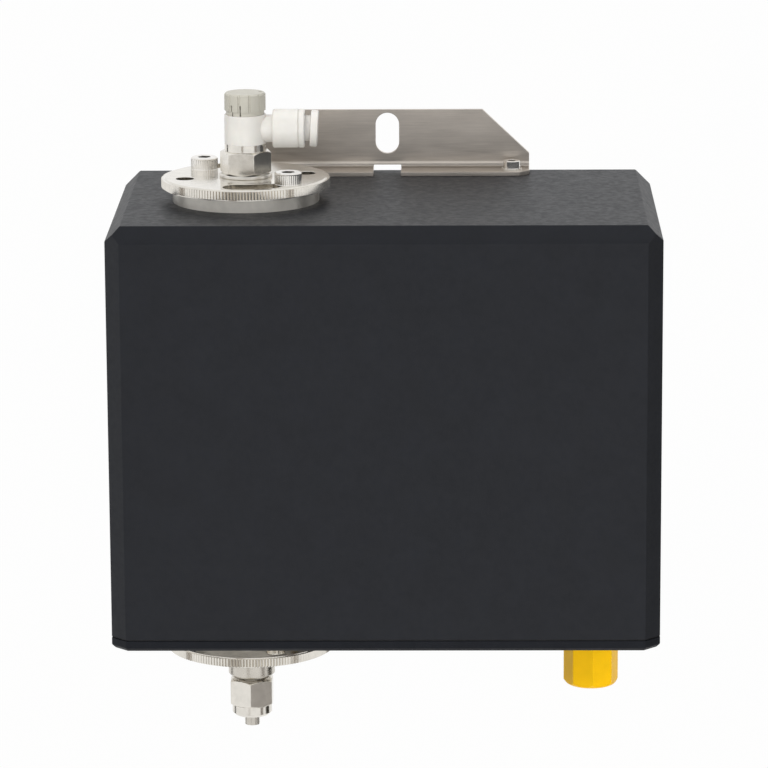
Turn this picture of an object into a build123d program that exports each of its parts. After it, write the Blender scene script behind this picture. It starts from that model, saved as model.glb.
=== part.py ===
from build123d import *
from math import cos, pi, radians, sin, sqrt
import os

# A flow-through turbidity sensor that hangs on a wall. Millimetres, +Z up, the wall at Y = 0.
# The origin is the centre of the bracket's hanging slot, on the wall. The housing is below it and in
# front of it, towards -Y. Water enters the lower fitting, rises through the cell and leaves at the top.

# Fits
running_play = 0.05
thread_play = 0.05
seat_play = 0.2

# Housing cover, base gasket and base plate
housing_width = 180.0
housing_depth = 105.0
cover_height = 137.0
cover_wall = 4.0
edge_chamfer = 5.0
plate_thickness = 3.6
plate_chamfer = 1.2
gasket_thickness = 0.5
gasket_inset = 0.5
gasket_width = 2.6
boss_radius = 4.5
boss_height = 16.0
boss_inset = 7.5
base_screw_radius = 2.0
base_screw_head_radius = 3.9
base_screw_length = 14.0
base_screw_socket = 2.5
base_screw_socket_depth = 1.5

# Hanging bracket, bent from one sheet
slot_rise = 13.1
slot_width = 8.0
slot_length = 14.0
sheet_thickness = 1.5
bend_radius = 2.0
bracket_width = 97.0
bracket_rise = 21.2
bracket_corner_run = 16.0
bracket_corner_drop = 15.1
flange_depth = 12.5
flange_corner = 3.5
notch_width = 9.4
notch_rise = 2.2
bracket_screw_end_distance = 6.0
bracket_screw_inset = 7.2
bracket_screw_radius = 1.5
bracket_screw_head_radius = 2.9
bracket_screw_head_height = 2.6
bracket_screw_socket = 2.5
bracket_screw_socket_depth = 1.4
bracket_screw_depth = 7.0
bracket_boss_radius = 3.6
bracket_boss_height = 5.0
bracket_washer_radius = 3.5
bracket_washer_thickness = 0.5

# Flow cell, turned, with three milled flats for the optics
cell_side_distance = 43.8
cell_forward_distance = 1.7
collar_radius = 24.3
collar_height = 4.5
collar_chamfer = 0.4
shaft_radius = 21.0
cell_bore_radius = 12.5
neck_radius = 18.9
neck_drop = 9.1
seal_section = 0.6
groove_opening = 2.6
groove_sides = 4.0
top_seal_radius = 22.7

# Optics: a lamp on +X, a detector at 90 degrees on -Y and one for the straight beam on -X
window_drop = 71.0
flat_distance = 18.0
flat_height = 28.0
pocket_radius = 7.0
pocket_depth = 4.0
aperture_radius = 4.0
window_radius = 6.9
window_thickness = 2.0
window_seal_thickness = 0.8
holder_width = 19.0
holder_height = 26.0
holder_corner = 2.0
holder_flange = 2.0
holder_barrel_radius = 7.5
holder_length = 14.0
holder_bore_radius = 5.0
holder_stop_radius = 4.4
holder_stop_length = 3.0
holder_screw_distance = 21.0
holder_screw_radius = 1.25
holder_screw_head_radius = 2.2
holder_screw_head_height = 1.8
holder_screw_depth = 2.2
lens_radius = 4.95
lens_thickness = 1.6
lens_rise = 1.4
plug_cap_radius = 7.0
plug_cap_thickness = 1.4
plug_radius = 4.95
plug_length = 3.0
lamp_dome_radius = 2.5
photodiode_width = 3.0
photodiode_thickness = 0.8

# Knurled discs over the two ends of the cell
disc_radius = 28.0
disc_thickness = 3.5
disc_chamfer = 0.6
knurl_pitch = 1.05
knurl_depth = 0.45
knurl_relief = 0.25
knurl_margin = 0.4
spigot_length = 8.0
spigot_lead = 0.6
spigot_seal_drop = 4.0
hole_circle_radius = 20.5
plain_hole_radius = 3.0
plain_hole_angle = 14.0
keyhole_width = 9.4
keyhole_start_angle = 84.5
keyhole_span = 26.5
shank_slot_width = 5.6
disc_screw_angle = 135.0
disc_screw_radius = 2.5
disc_screw_head_radius = 4.5
disc_screw_head_height = 3.9
disc_screw_head_chamfer = 0.4
disc_screw_depth = 3.4
disc_screw_socket = 4.0
disc_screw_socket_depth = 2.4
lower_hole_circle_radius = 22.0
lower_hole_radius = 3.1
lower_hole_angle = 114.0
lower_screw_circle_radius = 15.7
lower_screw_angle = 84.0
lower_screw_radius = 1.6
lower_screw_head_radius = 3.0
lower_screw_length = 10.0
lower_screw_socket = 2.0
lower_screw_socket_depth = 1.2

# Flow regulator on the upper disc
stem_radius = 4.85
stem_length = 9.0
passage_radius = 1.6
regulator_washer_radius = 8.75
regulator_washer_thickness = 1.1
hex_flats = 15.0
hex_height = 7.6
hex_turn = -9.0
shoulder_radius = 6.95
shoulder_height = 2.4
sleeve_radius = 4.0
sleeve_height = 2.8
small_seal_section = 0.4
swivel_seal_rise = 1.2
elbow_radius = 6.9
elbow_height = 9.7
elbow_round = 0.4
chamber_radius = 2.8
bonnet_radius = 5.0
bonnet_height = 2.0
port_rise = 4.85
port_passage_radius = 1.9
port_neck_radius = 4.55
port_start = 9.1
port_end = 19.7
port_radius = 6.4
port_socket_start = 12.0
port_socket_radius = 5.2
tube_radius = 3.0
tube_play = 0.1
tube_stop = 11.0
port_seal_length = 2.0
grip_ring_length = 2.0
grip_ring_thickness = 0.4
grip_ring_slots = 8
grip_ring_slot_width = 0.5
grip_ring_gap = 0.3
guide_ring_wall = 0.95
release_travel = 1.3
release_sleeve_wall = 1.1
release_flange_start = 21.5
release_flange_length = 2.5
release_flange_radius = 6.0
knob_radius = 6.8
knob_height = 7.2
knob_chamfer = 0.5
knob_foot_radius = 6.3
knob_foot_height = 1.4
knob_flutes = 12
knob_flute_radius = 0.45
knob_slit_angle = -115.0
knob_slit_half_angle = 13.4
knob_slit_width = 0.5
knob_slit_height = 3.6
knob_pit_circle_radius = 5.1
knob_pit_radius = 0.6
knob_pit_depth = 0.5
knob_pit_angle = 15.0
needle_radius = 2.0
needle_travel = 2.0
needle_entry = 1.5
needle_tip_length = 2.4
needle_tip_radius = 0.6
needle_reach = 3.6
needle_seal_drop = 2.0
needle_seal_section = 0.3

# Tube fitting below the lower disc
fitting_washer_radius = 7.6
fitting_washer_thickness = 1.0
fitting_radius = 7.86
fitting_height = 9.2
fitting_chamfer = 0.93
fitting_tail_radius = 5.8
fitting_tail_length = 6.7
nut_gap = 1.0
nut_flats = 14.0
nut_turn = 28.6
nut_hex_height = 8.95
nut_collar_radius = 6.74
nut_collar_height = 3.65
nut_collar_chamfer = 0.8
outlet_radius = 2.2
outlet_end_radius = 2.5
outlet_bore_radius = 1.4
outlet_stub = 3.8
outlet_end_gap = 0.3
outlet_stop = 1.2
outlet_play = 0.1
ferrule_cone = 1.3
ferrule_mouth_radius = 3.8
front_ferrule_skirt = 0.8
front_ferrule_nose = 1.0
back_ferrule_height = 0.8
back_ferrule_radius = 4.2

# Electrical connector and its protective cap
connector_side_distance = 21.2
connector_radius = 6.0
connector_bore_radius = 4.6
connector_reach = 15.0
connector_flange_radius = 9.0
connector_flange_height = 2.0
connector_seal_radius = 8.5
connector_seal_thickness = 0.8
connector_rise = 8.0
connector_lip = 0.5
connector_lip_height = 2.0
connector_nut_flats = 15.0
connector_nut_height = 3.0
insert_recess = 5.0
pin_count = 5
pin_radius = 0.5
pin_circle_radius = 2.5
pin_reach = 4.2
pin_tail = 2.5
cap_flats = 17.0
cap_sides = 8
cap_turn = 3.0
cap_length = 22.8
cap_floor = 2.2
cap_chamfer = 0.5
cap_play = 0.1

# Circuit board on the back wall
board_width = 84.0
board_height = 96.0
board_thickness = 1.6
board_side_distance = 14.0
standoff_flats = 5.5
standoff_length = 10.0
standoff_stud = 2.5
board_screw_inset = 4.5
board_screw_radius = 1.5
board_screw_head_radius = 2.75
board_screw_head_height = 2.2
board_screw_depth = 4.0
# Each component: place on the board across and up, width, height and thickness
board_parts = {
    "transformer": (-26.0, 24.0, 20.0, 22.0, 14.0),
    "terminal block": (12.0, -38.0, 30.0, 10.0, 11.0),
    "controller": (8.0, 6.0, 14.0, 14.0, 1.6),
    "amplifier": (-22.0, -8.0, 9.0, 6.0, 1.8),
    "converter": (-22.0, -20.0, 9.0, 6.0, 1.8),
    "relay": (28.0, 28.0, 12.0, 18.0, 10.0),
}
capacitor_radius = 4.0
capacitor_length = 11.0
capacitor_places = [(-8.0, 32.0), (2.0, 32.0)]

# Levels that follow
top = -slot_rise
cover_bottom = top - cover_height
plate_top = cover_bottom - gasket_thickness
base = plate_top - plate_thickness
cell_top = top + collar_height
neck_bottom = base - neck_drop
window_level = top - window_drop
board_level = (cover_bottom + boss_height + top - cover_wall) / 2
disc_top = cell_top + disc_thickness
hex_bottom = disc_top + regulator_washer_thickness
hex_top = hex_bottom + hex_height
shoulder_top = hex_top + shoulder_height
sleeve_top = shoulder_top + sleeve_height
port_level = shoulder_top + port_rise
elbow_top = shoulder_top + elbow_height
bonnet_top = elbow_top + bonnet_height
knob_top = elbow_top + knob_height
needle_bottom = sleeve_top - needle_entry
needle_top = elbow_top + needle_reach
lower_disc_bottom = neck_bottom - disc_thickness
fitting_top = lower_disc_bottom - fitting_washer_thickness
fitting_bottom = fitting_top - fitting_height
tail_bottom = fitting_bottom - fitting_tail_length
nut_top = fitting_bottom - nut_gap
nut_hex_bottom = nut_top - nut_hex_height
nut_bottom = nut_hex_bottom - nut_collar_height
ferrule_joint = tail_bottom - front_ferrule_skirt
ferrule_seat = ferrule_joint - back_ferrule_height
outlet_top = fitting_bottom + outlet_stop
outlet_bottom = nut_bottom - outlet_stub
flange_top = base - connector_seal_thickness
flange_bottom = flange_top - connector_flange_height
connector_bottom = flange_bottom - connector_reach
connector_top = plate_top + connector_rise
insert_bottom = connector_bottom + insert_recess
insert_top = connector_top - connector_lip_height
cap_bottom = flange_bottom - cap_length

# Distances from an axis that follow
spigot_radius = cell_bore_radius - running_play
disc_core_radius = disc_radius - knurl_depth - knurl_relief
pocket_floor = flat_distance - pocket_depth
window_start = pocket_floor + window_seal_thickness
holder_start = window_start + window_thickness
flange_face = flat_distance + holder_flange
barrel_end = flange_face + holder_length
lens_seat = holder_start + holder_stop_length
lens_edge = lens_seat + lens_thickness
lens_apex = lens_edge + lens_rise
plug_face = barrel_end - plug_length
tube_bore_radius = tube_radius + tube_play
grip_ring_start = port_socket_start + port_seal_length
grip_ring_end = grip_ring_start + grip_ring_length
guide_ring_start = grip_ring_end + grip_ring_gap
guide_ring_radius = port_socket_radius - guide_ring_wall
release_start = grip_ring_end + release_travel + running_play
release_end = release_flange_start + release_flange_length
release_radius = tube_bore_radius + release_sleeve_wall
outlet_seat_radius = outlet_radius + outlet_play

# Planes, axes and places that follow
half_width = housing_width / 2
cell_x = cell_side_distance - half_width
cell_y = -housing_depth / 2 - cell_forward_distance
connector_x = half_width - connector_side_distance
board_x = half_width - board_side_distance - board_width / 2
cell_axis = Axis((cell_x, cell_y, 0), (0, 0, 1))
cell_section = Plane(origin=(cell_x, cell_y, 0), x_dir=(1, 0, 0), z_dir=(0, -1, 0))
lamp_axis = Axis((cell_x, cell_y, window_level), (1, 0, 0))
lamp_section = Plane(origin=(cell_x, cell_y, window_level), x_dir=(1, 0, 0), z_dir=(0, -1, 0))
port_axis = Axis((cell_x, cell_y, port_level), (1, 0, 0))
port_section = Plane(origin=(cell_x, cell_y, port_level), x_dir=(1, 0, 0), z_dir=(0, -1, 0))
connector_axis = Axis((connector_x, cell_y, 0), (0, 0, 1))
connector_section = Plane(origin=(connector_x, cell_y, 0), x_dir=(1, 0, 0), z_dir=(0, -1, 0))
standing = (Align.CENTER, Align.CENTER, Align.MIN)
boss_x = half_width - boss_inset
boss_front = boss_inset - housing_depth
base_screw_places = [(x, y) for x in (-boss_x, 0, boss_x) for y in (-boss_inset, boss_front)]
bracket_screw_x = bracket_width / 2 - bracket_screw_end_distance
bracket_screw_places = [(x, -bracket_screw_inset) for x in (-bracket_screw_x, bracket_screw_x)]
standoff_run = board_width / 2 - board_screw_inset
standoff_low = board_level - board_height / 2 + board_screw_inset
standoff_high = board_level + board_height / 2 - board_screw_inset
standoff_places = [
    (x, z) for x in (board_x - standoff_run, board_x + standoff_run) for z in (standoff_low, standoff_high)
]
lamp_side = Vector(1, 0, 0)
detector_sides = [Vector(0, -1, 0), Vector(-1, 0, 0)]
optic_sides = [lamp_side] + detector_sides
pieces = {}


def cell_plane(level):
    """A level plane centred on the cell's axis."""
    return Plane((cell_x, cell_y, level))


def connector_plane(level):
    """A level plane centred on the connector's axis."""
    return Plane((connector_x, cell_y, level))


def optic_planes(sides, distance):
    """Planes across the optical axes, at a distance from the cell's axis, facing outwards with Y up."""
    centre = Vector(cell_x, cell_y, window_level)
    up = Vector(0, 0, 1)
    return [Plane(origin=centre + side * distance, x_dir=up.cross(side), z_dir=side) for side in sides]


def around_cell(radius, count, start):
    """Places on a circle round the cell's axis."""
    angles = [radians(start + 360 * step / count) for step in range(count)]
    return [(cell_x + radius * cos(angle), cell_y + radius * sin(angle)) for angle in angles]


def facing_down(places, level):
    """Planes that look down from a level, for holes drilled from below."""
    return [Plane(origin=(x, y, level), z_dir=(0, 0, -1)) for x, y in places]


def housing_plan(inset):
    """The housing's outline from above, moved inwards: both front corners are cut at 45 degrees."""
    side = half_width - inset
    front = inset - housing_depth
    cut = edge_chamfer - inset * (2 - sqrt(2))
    return [
        (side, -inset),
        (side, front + cut),
        (side - cut, front),
        (cut - side, front),
        (-side, front + cut),
        (-side, -inset),
    ]


def knurled_outline():
    """A circle of straight V grooves, as a closed list of points."""
    teeth = round(2 * pi * disc_radius / knurl_pitch)
    points = []
    for step in range(2 * teeth):
        radius = disc_radius - knurl_depth * (step % 2)
        angle = pi * step / teeth
        points.append((radius * cos(angle), radius * sin(angle)))
    return points


def disc_profile(seat, face, inwards):
    """Half the section of an end disc: spigot, seat, rim and outer face, bored for a threaded stem."""
    bore = stem_radius + thread_play
    tip = seat + inwards * spigot_length
    return [
        (bore, tip),
        (spigot_radius - spigot_lead, tip),
        (spigot_radius, tip - inwards * spigot_lead),
        (spigot_radius, seat),
        (disc_core_radius, seat),
        (disc_core_radius, face + inwards * disc_chamfer),
        (disc_core_radius - disc_chamfer, face),
        (bore, face),
    ]


def crowned_profile(flats, low, high):
    """Half the section of a round blank that crowns both ends of a hexagon at 30 degrees."""
    corner = flats / sqrt(3)
    crown = (corner - flats / 2) / sqrt(3)
    return [
        (0, low),
        (flats / 2, low),
        (corner, low + crown),
        (corner, high - crown),
        (flats / 2, high),
        (0, high),
    ]


# Housing cover: an open-bottomed shell. The three chamfers of a front corner meet in one point.
with BuildPart() as housing_cover:
    with BuildSketch(Plane.XY.offset(cover_bottom)):
        with BuildLine():
            Polyline(*housing_plan(0.0), close=True)
        make_face()
    extrude(amount=cover_height)
    with BuildSketch(Plane.XZ):
        with BuildLine():
            Polyline(
                (-half_width, cover_bottom),
                (half_width, cover_bottom),
                (half_width, top - edge_chamfer),
                (half_width - edge_chamfer, top),
                (edge_chamfer - half_width, top),
                (-half_width, top - edge_chamfer),
                close=True,
            )
        make_face()
    extrude(amount=housing_depth, mode=Mode.INTERSECT)
    with BuildSketch(Plane.YZ):
        with BuildLine():
            Polyline(
                (0, cover_bottom),
                (-housing_depth, cover_bottom),
                (-housing_depth, top - edge_chamfer),
                (edge_chamfer - housing_depth, top),
                (0, top),
                close=True,
            )
        make_face()
    extrude(amount=half_width, both=True, mode=Mode.INTERSECT)
    rim = housing_cover.faces().sort_by(Axis.Z)[0]
    offset(amount=-cover_wall, openings=rim)
    with BuildSketch(Plane.XY.offset(cover_bottom)):
        with Locations(*base_screw_places):
            Circle(boss_radius)
    extrude(amount=boss_height)
    with BuildSketch(Plane.XY.offset(top - cover_wall)):
        with Locations(*bracket_screw_places):
            Circle(bracket_boss_radius)
    extrude(amount=-bracket_boss_height)
    with BuildSketch(Plane.XY.offset(cover_bottom)):
        with Locations(*base_screw_places):
            Circle(base_screw_radius + thread_play)
    extrude(amount=base_screw_length, mode=Mode.SUBTRACT)
    with BuildSketch(Plane.XY.offset(top)):
        with Locations(*bracket_screw_places):
            Circle(bracket_screw_radius + thread_play)
    extrude(amount=-bracket_screw_depth, mode=Mode.SUBTRACT)
    with BuildSketch(cell_plane(top)):
        Circle(shaft_radius + seat_play)
    extrude(amount=-cover_wall, mode=Mode.SUBTRACT)
    with BuildSketch(cell_section):
        with Locations((top_seal_radius, top)):
            Rectangle(groove_opening * seal_section, groove_sides * seal_section)
    revolve(axis=cell_axis, mode=Mode.SUBTRACT)
    with BuildSketch(Plane.XZ.offset(cover_wall)):
        with Locations(*standoff_places):
            Circle(board_screw_radius + thread_play)
    extrude(amount=-standoff_stud, mode=Mode.SUBTRACT)
pieces["housing_cover"] = housing_cover

# Base gasket: a flat ring along the rim of the cover
with BuildPart() as base_gasket:
    with BuildSketch(Plane.XY.offset(plate_top)):
        with BuildLine():
            Polyline(*housing_plan(gasket_inset), close=True)
        make_face()
        with BuildLine():
            Polyline(*housing_plan(gasket_inset + gasket_width), close=True)
        make_face(mode=Mode.SUBTRACT)
    extrude(amount=gasket_thickness)
pieces["base_gasket"] = base_gasket

# Base plate: countersunk from below, bored for the cell's neck and for the connector
with BuildPart() as base_plate:
    with BuildSketch(Plane.XY.offset(base)):
        with BuildLine():
            Polyline(*housing_plan(0.0), close=True)
        make_face()
    extrude(amount=plate_thickness)
    lower_edges = base_plate.faces().sort_by(Axis.Z)[0].edges()
    chamfer(lower_edges.sort_by(Axis.Y)[:-1], length=plate_chamfer)
    with BuildSketch(cell_plane(base)):
        Circle(neck_radius + seat_play)
    extrude(amount=plate_thickness, mode=Mode.SUBTRACT)
    with BuildSketch(connector_plane(base)):
        Circle(connector_radius + seat_play)
    extrude(amount=plate_thickness, mode=Mode.SUBTRACT)
    with Locations(*facing_down(base_screw_places, base)):
        CounterSinkHole(
            radius=base_screw_radius + seat_play,
            counter_sink_radius=base_screw_head_radius + seat_play,
            depth=plate_thickness,
            counter_sink_angle=90,
        )
pieces["base_plate"] = base_plate

# Base screws: countersunk, flush with the underside
with BuildPart() as base_screws:
    with BuildSketch(Plane.XY.offset(base)):
        with Locations(*base_screw_places):
            Circle(base_screw_radius)
    extrude(amount=base_screw_length)
    with Locations(*[(x, y, base) for x, y in base_screw_places]):
        Cone(
            base_screw_head_radius,
            base_screw_radius,
            base_screw_head_radius - base_screw_radius,
            align=standing,
        )
    with BuildSketch(Plane.XY.offset(base)):
        with Locations(*base_screw_places):
            RegularPolygon(base_screw_socket / 2, 6, major_radius=False)
    extrude(amount=base_screw_socket_depth, mode=Mode.SUBTRACT)
pieces["base_screws"] = base_screws

# Hanging bracket: one bend, a vertical slot, slanted upper corners and a relief notch in the bend
with BuildPart() as hanging_bracket:
    with BuildSketch(Plane.YZ):
        with BuildLine():
            FilletPolyline(
                (-flange_depth, top),
                (0, top),
                (0, top + bracket_rise),
                radius=bend_radius + sheet_thickness,
            )
            offset(amount=sheet_thickness, side=Side.LEFT)
        make_face()
    extrude(amount=bracket_width / 2, both=True)
    with BuildSketch(Plane.XZ):
        with BuildLine():
            Polyline(
                (-bracket_width / 2, top),
                (bracket_width / 2, top),
                (bracket_width / 2, top + bracket_rise - bracket_corner_drop),
                (bracket_width / 2 - bracket_corner_run, top + bracket_rise),
                (bracket_corner_run - bracket_width / 2, top + bracket_rise),
                (-bracket_width / 2, top + bracket_rise - bracket_corner_drop),
                close=True,
            )
        make_face()
        SlotOverall(slot_length, slot_width, rotation=90, mode=Mode.SUBTRACT)
        with Locations((0, top)):
            Rectangle(notch_width, 2 * notch_rise, mode=Mode.SUBTRACT)
    extrude(amount=flange_depth, mode=Mode.INTERSECT)
    front_corners = hanging_bracket.edges().filter_by(Axis.Z).group_by(Axis.Y)[0]
    chamfer(front_corners.sort_by(Axis.X)[0::3], length=flange_corner)
    with BuildSketch(Plane.XY.offset(top)):
        with Locations(*bracket_screw_places):
            Circle(bracket_screw_radius + seat_play)
    extrude(amount=sheet_thickness, mode=Mode.SUBTRACT)
pieces["hanging_bracket"] = hanging_bracket

washer_bottom = top + sheet_thickness
washer_top = washer_bottom + bracket_washer_thickness
with BuildPart() as bracket_washers:
    with BuildSketch(Plane.XY.offset(washer_bottom)):
        with Locations(*bracket_screw_places):
            Circle(bracket_washer_radius)
            Circle(bracket_screw_radius + seat_play, mode=Mode.SUBTRACT)
    extrude(amount=bracket_washer_thickness)
pieces["bracket_washers"] = bracket_washers

with BuildPart() as bracket_screws:
    with BuildSketch(Plane.XY.offset(washer_top)):
        with Locations(*bracket_screw_places):
            Circle(bracket_screw_head_radius)
    extrude(amount=bracket_screw_head_height)
    with BuildSketch(Plane.XY.offset(washer_top)):
        with Locations(*bracket_screw_places):
            Circle(bracket_screw_radius)
    extrude(amount=top - bracket_screw_depth - washer_top)
    with BuildSketch(Plane.XY.offset(washer_top + bracket_screw_head_height)):
        with Locations(*bracket_screw_places):
            RegularPolygon(bracket_screw_socket / 2, 6, major_radius=False)
    extrude(amount=-bracket_screw_socket_depth, mode=Mode.SUBTRACT)
pieces["bracket_screws"] = bracket_screws

# Flow cell: its collar rests on the cover, and the shoulder over its neck on the base plate
with BuildPart() as flow_cell:
    with BuildSketch(cell_section):
        with BuildLine():
            Polyline(
                (cell_bore_radius, neck_bottom),
                (neck_radius, neck_bottom),
                (neck_radius, plate_top),
                (shaft_radius, plate_top),
                (shaft_radius, top),
                (collar_radius, top),
                (collar_radius, cell_top - collar_chamfer),
                (collar_radius - collar_chamfer, cell_top),
                (cell_bore_radius, cell_top),
                close=True,
            )
        make_face()
        with Locations((neck_radius, base + plate_thickness / 2)):
            Rectangle(
                groove_sides * seal_section - 2 * seat_play,
                groove_opening * seal_section,
                mode=Mode.SUBTRACT,
            )
    revolve(axis=cell_axis)
    with BuildSketch(*optic_planes(optic_sides, flat_distance)):
        Rectangle(2 * shaft_radius, flat_height)
    extrude(amount=shaft_radius, mode=Mode.SUBTRACT)
    with BuildSketch(*optic_planes(optic_sides, flat_distance)):
        Circle(pocket_radius)
    extrude(amount=-pocket_depth, mode=Mode.SUBTRACT)
    with BuildSketch(*optic_planes(optic_sides, flat_distance)):
        Circle(aperture_radius)
    extrude(amount=-flat_distance, mode=Mode.SUBTRACT)
    with BuildSketch(*optic_planes(optic_sides, flat_distance)):
        with GridLocations(0, holder_screw_distance, 1, 2):
            Circle(holder_screw_radius + thread_play)
    extrude(amount=-holder_screw_depth, mode=Mode.SUBTRACT)
    with BuildSketch(cell_plane(cell_top)):
        with PolarLocations(hole_circle_radius, 2, disc_screw_angle):
            Circle(disc_screw_radius + thread_play)
    extrude(amount=-disc_screw_depth, mode=Mode.SUBTRACT)
    with BuildSketch(cell_plane(neck_bottom)):
        with PolarLocations(lower_screw_circle_radius, 3, lower_screw_angle):
            Circle(lower_screw_radius + thread_play)
    extrude(amount=lower_screw_length - disc_thickness, mode=Mode.SUBTRACT)
pieces["flow_cell"] = flow_cell

# O-rings of the cell: one under the collar, one between the neck and the base plate
with BuildPart() as cell_top_seal:
    with BuildSketch(cell_section):
        with Locations((top_seal_radius, top - seal_section)):
            Circle(seal_section)
    revolve(axis=cell_axis)
pieces["cell_top_seal"] = cell_top_seal

with BuildPart() as cell_bottom_seal:
    with BuildSketch(cell_section):
        with Locations((neck_radius + seat_play - seal_section, base + plate_thickness / 2)):
            Circle(seal_section)
    revolve(axis=cell_axis)
pieces["cell_bottom_seal"] = cell_bottom_seal

# Window seals and windows, in the three pockets of the cell
with BuildPart() as window_seals:
    with BuildSketch(*optic_planes(optic_sides, pocket_floor)):
        Circle(window_radius)
        Circle(holder_stop_radius, mode=Mode.SUBTRACT)
    extrude(amount=window_seal_thickness)
pieces["window_seals"] = window_seals

with BuildPart() as windows:
    with BuildSketch(*optic_planes(optic_sides, window_start)):
        Circle(window_radius)
    extrude(amount=window_thickness)
pieces["windows"] = windows

# Optics holders: a nose that clamps the window, a screwed flange and a barrel
for name, sides in {"light_source_holder": [lamp_side], "detector_holders": detector_sides}.items():
    with BuildPart() as holder:
        with BuildSketch(*optic_planes(sides, holder_start)):
            Circle(window_radius)
        extrude(amount=flat_distance - holder_start)
        with BuildSketch(*optic_planes(sides, flat_distance)):
            RectangleRounded(holder_width, holder_height, holder_corner)
        extrude(amount=holder_flange)
        with BuildSketch(*optic_planes(sides, flange_face)):
            Circle(holder_barrel_radius)
        extrude(amount=holder_length)
        with BuildSketch(*optic_planes(sides, holder_start)):
            Circle(holder_stop_radius)
        extrude(amount=holder_stop_length, mode=Mode.SUBTRACT)
        with BuildSketch(*optic_planes(sides, lens_seat)):
            Circle(holder_bore_radius)
        extrude(amount=barrel_end - lens_seat, mode=Mode.SUBTRACT)
        with BuildSketch(*optic_planes(sides, flat_distance)):
            with GridLocations(0, holder_screw_distance, 1, 2):
                Circle(holder_screw_radius + seat_play)
        extrude(amount=holder_flange, mode=Mode.SUBTRACT)
    pieces[name] = holder

with BuildPart() as holder_screws:
    with BuildSketch(*optic_planes(optic_sides, flange_face)):
        with GridLocations(0, holder_screw_distance, 1, 2):
            Circle(holder_screw_head_radius)
    extrude(amount=holder_screw_head_height)
    with BuildSketch(*optic_planes(optic_sides, flange_face)):
        with GridLocations(0, holder_screw_distance, 1, 2):
            Circle(holder_screw_radius)
    extrude(amount=-holder_flange - holder_screw_depth)
pieces["holder_screws"] = holder_screws

# Collimating lens: flat towards the cell, seated on the step in the light source's barrel
with BuildPart() as collimating_lens:
    with BuildSketch(lamp_section):
        with BuildLine():
            Polyline((lens_apex, 0), (lens_seat, 0), (lens_seat, lens_radius), (lens_edge, lens_radius))
            TangentArc((lens_apex, 0), (lens_edge, lens_radius), tangent=(0, 1))
        make_face()
    revolve(axis=lamp_axis)
pieces["collimating_lens"] = collimating_lens

# Light source: a domed lamp on a plug that closes the barrel
with BuildPart() as light_source:
    with BuildSketch(lamp_section):
        with BuildLine():
            Polyline(
                (plug_face - lamp_dome_radius, 0),
                (barrel_end + plug_cap_thickness, 0),
                (barrel_end + plug_cap_thickness, plug_cap_radius),
                (barrel_end, plug_cap_radius),
                (barrel_end, plug_radius),
                (plug_face, plug_radius),
                (plug_face, lamp_dome_radius),
            )
            TangentArc((plug_face - lamp_dome_radius, 0), (plug_face, lamp_dome_radius), tangent=(0, 1))
        make_face()
    revolve(axis=lamp_axis)
pieces["light_source"] = light_source

with BuildPart() as photodiodes:
    with BuildSketch(*optic_planes(detector_sides, barrel_end)):
        Circle(plug_cap_radius)
    extrude(amount=plug_cap_thickness)
    with BuildSketch(*optic_planes(detector_sides, barrel_end)):
        Circle(plug_radius)
    extrude(amount=-plug_length)
    with BuildSketch(*optic_planes(detector_sides, plug_face)):
        Rectangle(photodiode_width, photodiode_width)
    extrude(amount=-photodiode_thickness)
pieces["photodiodes"] = photodiodes

# Upper disc: two keyholes let it turn free of its screws, and two plain holes take a pin spanner
shank_span = disc_screw_angle - keyhole_start_angle
keyhole_paths = [
    (
        CenterArc((0, 0), hole_circle_radius, start, keyhole_span),
        CenterArc((0, 0), hole_circle_radius, start, shank_span),
    )
    for start in (keyhole_start_angle, keyhole_start_angle + 180)
]
with BuildPart() as upper_disc:
    with BuildSketch(cell_section):
        with BuildLine():
            Polyline(*disc_profile(cell_top, disc_top, -1), close=True)
        make_face()
        with Locations((spigot_radius, cell_top - spigot_seal_drop)):
            Rectangle(groove_sides * seal_section, groove_opening * seal_section, mode=Mode.SUBTRACT)
    revolve(axis=cell_axis)
    with BuildSketch(cell_plane(cell_top + knurl_margin)):
        with BuildLine():
            Polyline(*knurled_outline(), close=True)
        make_face()
        Circle(spigot_radius, mode=Mode.SUBTRACT)
    extrude(amount=disc_thickness - 2 * knurl_margin)
    with BuildSketch(cell_plane(cell_top)):
        with PolarLocations(hole_circle_radius, 2, plain_hole_angle):
            Circle(plain_hole_radius)
        for wide_path, shank_path in keyhole_paths:
            SlotArc(wide_path, keyhole_width)
            SlotArc(shank_path, shank_slot_width)
    extrude(amount=disc_thickness, mode=Mode.SUBTRACT)
pieces["upper_disc"] = upper_disc

with BuildPart() as upper_disc_seal:
    with BuildSketch(cell_section):
        with Locations((spigot_radius - seal_section, cell_top - spigot_seal_drop)):
            Circle(seal_section)
    revolve(axis=cell_axis)
pieces["upper_disc_seal"] = upper_disc_seal

with BuildPart() as upper_disc_screws:
    with BuildSketch(cell_plane(disc_top)):
        with PolarLocations(hole_circle_radius, 2, disc_screw_angle):
            Circle(disc_screw_head_radius)
    extrude(amount=disc_screw_head_height)
    chamfer(upper_disc_screws.faces().group_by(Axis.Z)[-1].edges(), length=disc_screw_head_chamfer)
    with BuildSketch(cell_plane(disc_top)):
        with PolarLocations(hole_circle_radius, 2, disc_screw_angle):
            Circle(disc_screw_radius)
    extrude(amount=-disc_thickness - disc_screw_depth)
    with BuildSketch(cell_plane(disc_top + disc_screw_head_height)):
        with PolarLocations(hole_circle_radius, 2, disc_screw_angle):
            RegularPolygon(disc_screw_socket / 2, 6, major_radius=False)
    extrude(amount=-disc_screw_socket_depth, mode=Mode.SUBTRACT)
pieces["upper_disc_screws"] = upper_disc_screws

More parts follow.
